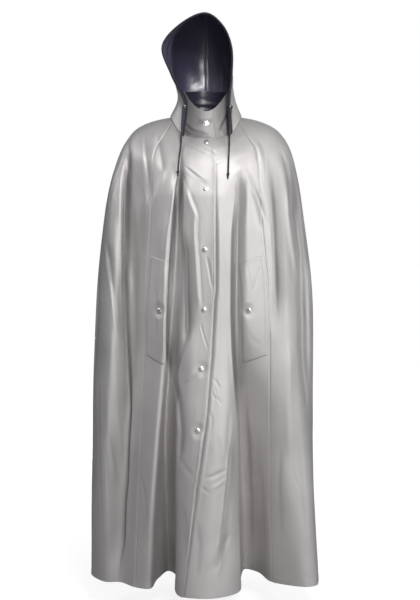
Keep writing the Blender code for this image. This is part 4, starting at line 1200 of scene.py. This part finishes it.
def hood_half(grid, side):
    """One half of the hood, from its rim back to the neck, and from its foot up to the middle seam."""
    backs = np.concatenate(((0, 0.008, 0.018), np.linspace(0.03, 1, 84)))
    shares = np.concatenate((np.linspace(0, 0.96, 74), (0.972, 0.981, 0.988, 0.994, 1.0)))
    overs = side * (1 - shares)
    overs[-1] = side * 0.0006
    points = hood_points(grid, overs, backs)
    outward = away_from_head(points, outward_of(points))
    from_seam = np.abs(arcs_of(points)[:, -1:] - arcs_of(points))
    height = hood_height(grid, points) * np.clip(backs / 0.08, 0, 1)[:, None]
    height *= np.clip((1 - np.abs(overs)) / 0.1, 0, 1)[None, :]
    height -= sizes().seam_depth * np.exp(-(from_seam / SEAM_REACH) ** 2)
    height += 0.0006 * soft_noise(points, 20.0, 1.4, 11 + side)
    points = points + outward * height[..., None]
    return Sheet(points, backs * 300, away_from_head(points, outward_of(points)))


def casing_sheet(grid):
    """The tape folded over the hood's edge, from just inside it to the outer stitch line."""
    half = np.linspace(0, 0.999, 150)
    overs = np.concatenate((half - 1, 1 - half[::-1]))
    base = hood_points(grid, overs, np.linspace(0, 0.14, 15))
    outward = away_from_head(base, outward_of(base))
    arcs = arcs_of(base.transpose(1, 0, 2))
    round_rim = arcs_of(base[:1])[0]
    points = np.empty((len(TAPE_SECTION), len(overs), 3))
    for column in range(len(overs)):
        ahead = unit(base[0, column] - base[1, column])
        width = TAPE_NARROW_END + (1 - TAPE_NARROW_END) * min(round_rim[column] / TAPE_WIDENS_OVER, 1)
        for row, (inset, lift) in enumerate(TAPE_SECTION):
            inside = max(inset, 0) * MM * width
            spot = point_on(base[:, column], arcs[column], inside)
            way = unit(point_on(outward[:, column], arcs[column], inside))
            points[row, column] = spot + way * lift * MM + ahead * max(-inset, 0) * MM
    sheet = Sheet(points, np.arange(len(TAPE_SECTION)) * 2.6)
    middle = len(overs) // 4
    if sheet.outward[len(TAPE_SECTION) - 3, middle] @ outward[3, middle] < 0:
        sheet.outward = -sheet.outward
    return sheet


class CAPE_OT_hood(bpy.types.Operator):
    """Build the two halves of the hood and the drawcord casing round its opening"""

    bl_idname = "cape.hood"
    bl_label = "Hood"

    def execute(self, context):
        grid = hood_grid()
        for label, side in (("right", -1), ("left", 1)):
            sheet = hood_half(grid, side)
            seam = sheet.path([(at, 0.965) for at in np.linspace(0.1, 0.97, 90)])
            sew("hood_" + label, sheet, [seam])
        casing = casing_sheet(grid)
        round_it = np.linspace(0.004, 0.996, 120)
        lines = [casing.path([(share, at) for at in round_it], TAPE_WALL / 2 + 0.0001) for share in (0.60, 0.955)]
        sew("hood_casing", casing, lines, [tape_finish()], TAPE_WALL)
        return {"FINISHED"}


# ==================== snaps, eyelets and cords
# Profiles from the top down the outer side: radius and height.
SNAP = ((0, 2.5), (1.6, 2.48), (3.2, 2.38), (4.7, 2.16), (5.9, 1.82), (6.35, 1.62), (6.6, 1.5), (6.85, 1.55),
        (7.15, 1.5), (7.4, 1.28), (7.5, 0.95), (7.42, 0.55), (7.15, 0.25), (6.7, 0), (3, -0.2), (0, -0.2))
EYELET = ((4.1, 1.45), (4.7, 1.4), (5.2, 1.1), (5.5, 0.6), (5.4, 0.15), (5.0, -0.1), (3.4, -0.1), (3.0, 0.1),
          (2.95, 0.6), (3.15, 1.1), (3.6, 1.38))
KNOT_TURNS, KNOT_BULGE, KNOT_LENGTH, KNOT_RADIUS = 2.1, 0.0021, 0.0086, 0.00235
TAIL_STEP, TAIL_RADII = 0.0011, (0.0022, 0.00215, 0.0022, 0.0023, 0.0024, 0.0024, 0.0021)


def turned(node, ending, profile, spot, way, segments):
    """A turned metal piece: its profile spun round a way, in place of its solid."""
    bm = bmesh.new()
    verts = [bm.verts.new((radius * MM, 0, height * MM)) for radius, height in profile]
    edges = [bm.edges.new(pair) for pair in zip(verts, verts[1:])]
    if profile[0][0] > 0:
        edges.append(bm.edges.new((verts[-1], verts[0])))
    bmesh.ops.spin(bm, geom=verts + edges, cent=(0, 0, 0), axis=(0, 0, 1), dvec=(0, 0, 0), angle=math.tau,
                   steps=segments, use_merge=True, use_duplicate=False)
    bmesh.ops.remove_doubles(bm, verts=bm.verts[:], dist=0.000004)
    bmesh.ops.recalc_face_normals(bm, faces=bm.faces[:])
    place = Matrix.Translation(Vector(spot)) @ facing(way, Vector(way).orthogonal())
    bmesh.ops.transform(bm, matrix=place, verts=bm.verts[:])
    item = finished(bm, node + ending, metal_finish())
    item.data.set_sharp_from_angle(angle=math.radians(50))
    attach(item, "root")
    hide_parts(node)
    return item


def seat_of(node, outward_hint):
    """Foot point and way of a small round CAD piece, read from its own corners."""
    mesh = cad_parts[node].data
    flat = np.empty(len(mesh.vertices) * 3, np.float32)
    mesh.vertices.foreach_get("co", flat)
    spots = np.unique(np.round(flat.reshape(-1, 3).astype(float), 7), axis=0)
    centre = spots.mean(0)
    way = np.linalg.svd(spots - centre)[2][2]
    if way @ np.array(outward_hint) < 0:
        way = -way
    return centre + way * ((spots - centre) @ way).min(), way


class CAPE_OT_snaps(bpy.types.Operator):
    """Build the nine press snaps"""

    bl_idname = "cape.snaps"
    bl_label = "Snaps"

    def execute(self, context):
        names = sorted(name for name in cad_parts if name.startswith("snap_"))
        if not names:
            raise RuntimeError("the frame has no snaps")
        for name in names:
            turned(name, "_cap", SNAP, *seat_of(name, FRONT), 48)
        return {"FINISHED"}


def smooth_route(knots, count):
    stations = np.concatenate(([0], np.cumsum(np.linalg.norm(np.diff(knots, axis=0), axis=1))))
    positions = [0, stations[1]] + list(np.linspace(2 * stations[1], stations[-1], count - 2))
    return np.array([along(stations, knots, position) for position in positions])


def tube(node, route, radii, sides):
    """A round cord along a route, in place of its solid: its map runs once round, and in metres along."""
    runs = unit(np.gradient(route, axis=0))
    side = Vector(runs[0]).orthogonal().normalized()
    points = np.empty((len(route), sides + 1, 3))
    for row, (spot, run, radius) in enumerate(zip(route, map(Vector, runs), radii)):
        side = (side - run * side.dot(run)).normalized()
        other = run.cross(side)
        for column in range(sides + 1):
            angle = math.tau * column / sides
            points[row, column] = spot + np.array(side * math.cos(angle) + other * math.sin(angle)) * radius
    uv = np.stack(np.meshgrid(np.linspace(0, 1, sides + 1), arcs_of(route[None])[0]), axis=-1)
    item = grid_mesh(node + "_braid", points, unit(points - route[:, None]), [cord_finish()], uv)
    bm = bmesh.new()
    bm.from_mesh(item.data)
    bmesh.ops.remove_doubles(bm, verts=bm.verts[:], dist=0.00002)
    bmesh.ops.holes_fill(bm, edges=[edge for edge in bm.edges if edge.is_boundary], sides=0)
    bmesh.ops.recalc_face_normals(bm, faces=bm.faces[:])
    bm.to_mesh(item.data)
    bm.free()
    item.data.shade_smooth()
    item.data.set_sharp_from_angle(angle=math.radians(60))
    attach(item, "root")
    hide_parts(node)
    return item


def overhand_knot(node, path):
    """Two turns of the cord drawn tight at the end of its path, and a short tail."""
    run = Vector(unit(path[-1] - path[-3]))
    turn_to = facing(run, run.orthogonal()).to_3x3()
    route = []
    for t in np.linspace(0, 1, 61):
        angle = t * math.tau * KNOT_TURNS
        bulge = KNOT_BULGE * math.sin(math.pi * min(max((t - 0.02) / 0.96, 0), 1)) ** 0.5
        down = 0.0008 + KNOT_LENGTH * (t + 0.06 * math.sin(angle))
        spot = Vector((bulge * math.cos(angle), bulge * math.sin(angle), down))
        route.append(Vector(path[-1]) + turn_to @ spot)
    radii = [KNOT_RADIUS] * len(route) + list(TAIL_RADII)
    tail = [route[-1] + run * TAIL_STEP * step for step in range(1, len(TAIL_RADII) + 1)]
    return tube(node, np.array([tuple(spot) for spot in route + tail]), radii, 14)


class CAPE_OT_cords(bpy.types.Operator):
    """Build the eyelets and the two ends of the drawcord with their knots"""

    bl_idname = "cape.cords"
    bl_label = "Eyelets and cords"

    def execute(self, context):
        own = sizes()
        for label, side, places in (("right", -1, CORD_RIGHT), ("left", 1, CORD_LEFT)):
            seat, way = seat_of("eyelet_" + label, (side, -0.4, 0))
            ring = turned("eyelet_" + label, "_ring", EYELET, seat, way, 40)
            leaving = [seat + way * stand for stand in (0.0008, 0.004)]
            path = smooth_route(np.array([*leaving, *(np.array(places) * MM)]), 60)
            cord = tube("cord_" + label, path, [own.cord / 2] * len(path), 16)
            knot = overhand_knot("knot_" + label, path)
            length = float(arcs_of(path[None])[0, -1])
        return {"FINISHED"}


# ==================== studio
FLOOR_HEIGHT = -1.42
CAMERA_PLACE, CAMERA_AIM, CAMERA_LENS = (0.0116, -3.2, -0.377), (0.0116, 0, -0.522), 66.2
Light = namedtuple("Light", "name place aim size power tint")
WARM, WHITE, COOL = (1, 0.992, 0.988), (1, 1, 1), (0.97, 0.98, 1)
LIGHTS = (
    Light("key", (0.5, -2.7, 1.45), (0, 0, -0.5), (0.9, 0.9), 54, WARM),
    Light("front", (0.8, -3.2, -0.1), (0, 0, -0.6), (0.8, 1.0), 18, WARM),
    Light("right side", (2.65, -1.45, 0.2), (0, 0, -0.5), (0.9, 1.2), 30, WHITE),
    Light("left side", (-3.0, -0.6, 1.4), (0, 0, -0.5), (0.9, 0.9), 26, COOL),
    Light("rear", (0.4, 2.8, 1.2), (0, 0, -0.5), (1.8, 1.8), 12, WHITE),
)


def placed(name, data, place, aim):
    """A camera or a light at its place, turned to what it is aimed at."""
    item = to_scene(bpy.data.objects.new(name, data))
    item.location = place
    item.rotation_euler = (Vector(aim) - Vector(place)).to_track_quat("-Z", "Y").to_euler()
    return item


class CAPE_OT_studio(bpy.types.Operator):
    """Set the camera, the soft lights and the pale floor"""

    bl_idname = "cape.studio"
    bl_label = "Studio"

    def execute(self, context):
        scene = context.scene
        data = bpy.data.cameras.new("front camera")
        data.sensor_fit, data.sensor_width, data.lens = "AUTO", 36, CAMERA_LENS
        scene.camera = placed("front camera", data, CAMERA_PLACE, CAMERA_AIM)
        for light in LIGHTS:
            data = bpy.data.lights.new(light.name, "AREA")
            data.shape = "RECTANGLE"
            data.size, data.size_y = light.size
            data.energy, data.color = light.power, light.tint
            placed(light.name, data, light.place, light.aim)
        self.room(scene)
        self.floor()
        scene.view_settings.view_transform = "Standard"
        return {"FINISHED"}

    def room(self, scene):
        """White behind the cape, and a faint cool light from all round it."""
        world = bpy.data.worlds.new("pale room")
        world.use_nodes = True
        scene.world = world
        tree = world.node_tree
        shown = feed(tree, tree.nodes["Background"], {"Color": (1, 1, 1, 1), "Strength": 1.0})
        lit = add(tree, "ShaderNodeBackground", {"Color": (0.93, 0.95, 1, 1), "Strength": 0.06})
        path = add(tree, "ShaderNodeLightPath")
        sockets = {"Fac": path.outputs["Is Camera Ray"], 1: lit.outputs[0], 2: shown.outputs[0]}
        mix = add(tree, "ShaderNodeMixShader", sockets)
        feed(tree, tree.nodes["World Output"], {"Surface": mix.outputs["Shader"]})

    def floor(self):
        """A pale floor that fades into the white of the room, and keeps the cape's soft shadow."""
        made, tree, shader = new_material("pale_floor")
        away = add(tree, "ShaderNodeVectorMath", operation="LENGTH")
        feed(tree, away, {0: add(tree, "ShaderNodeTexCoord").outputs["Object"]})
        glow = ramp_value(tree, away.outputs["Value"], 1.45, 2.6, 0.86, 1.0)
        glow = math_node(tree, "MULTIPLY", glow, add(tree, "ShaderNodeLightPath").outputs["Is Camera Ray"])
        feed(tree, shader, {"Base Color": (*colours().floor, 1), "Roughness": 0.9, "Specular IOR Level": 0.1,
                            "Emission Color": (1, 1, 1, 1), "Emission Strength": glow})
        bm = bmesh.new()
        bmesh.ops.create_circle(bm, cap_ends=True, radius=60.0, segments=96,
                                matrix=Matrix.Translation((0, 0, FLOOR_HEIGHT)))
        finished(bm, "studio_floor", made)


# ==================== add-on
class CAPE_PT_panel(bpy.types.Panel):
    """The rain cape's sizes, colours and pieces"""

    bl_label = "Rain Cape"
    bl_idname = "CAPE_PT_panel"
    bl_space_type = "VIEW_3D"
    bl_region_type = "UI"
    bl_category = "Rain Cape"

    def draw(self, context):
        layout = self.layout
        for group in (context.scene.cape_sizes, context.scene.cape_colours):
            box = layout.box()
            for key in group.__annotations__:
                box.prop(group, key)
        for operator in OPERATORS:
            layout.operator(operator.bl_idname)


OPERATORS = (CAPE_OT_studio, CAPE_OT_body, CAPE_OT_welts, CAPE_OT_collar, CAPE_OT_hood, CAPE_OT_snaps,
             CAPE_OT_cords)
CLASSES = (CapeSizes, CapeColours, *OPERATORS, CAPE_PT_panel)


def register():
    for cls in CLASSES:
        bpy.utils.register_class(cls)
    bpy.types.Scene.cape_sizes = bpy.props.PointerProperty(type=CapeSizes)
    bpy.types.Scene.cape_colours = bpy.props.PointerProperty(type=CapeColours)


def unregister():
    del bpy.types.Scene.cape_colours
    del bpy.types.Scene.cape_sizes
    for cls in reversed(CLASSES):
        bpy.utils.unregister_class(cls)


def main():
    register()
    bpy.ops.cape.studio()
    bpy.ops.cape.body()
    bpy.ops.cape.welts()
    bpy.ops.cape.collar()
    bpy.ops.cape.hood()
    bpy.ops.cape.snaps()
    bpy.ops.cape.cords()


if __name__ == "__main__":
    main()
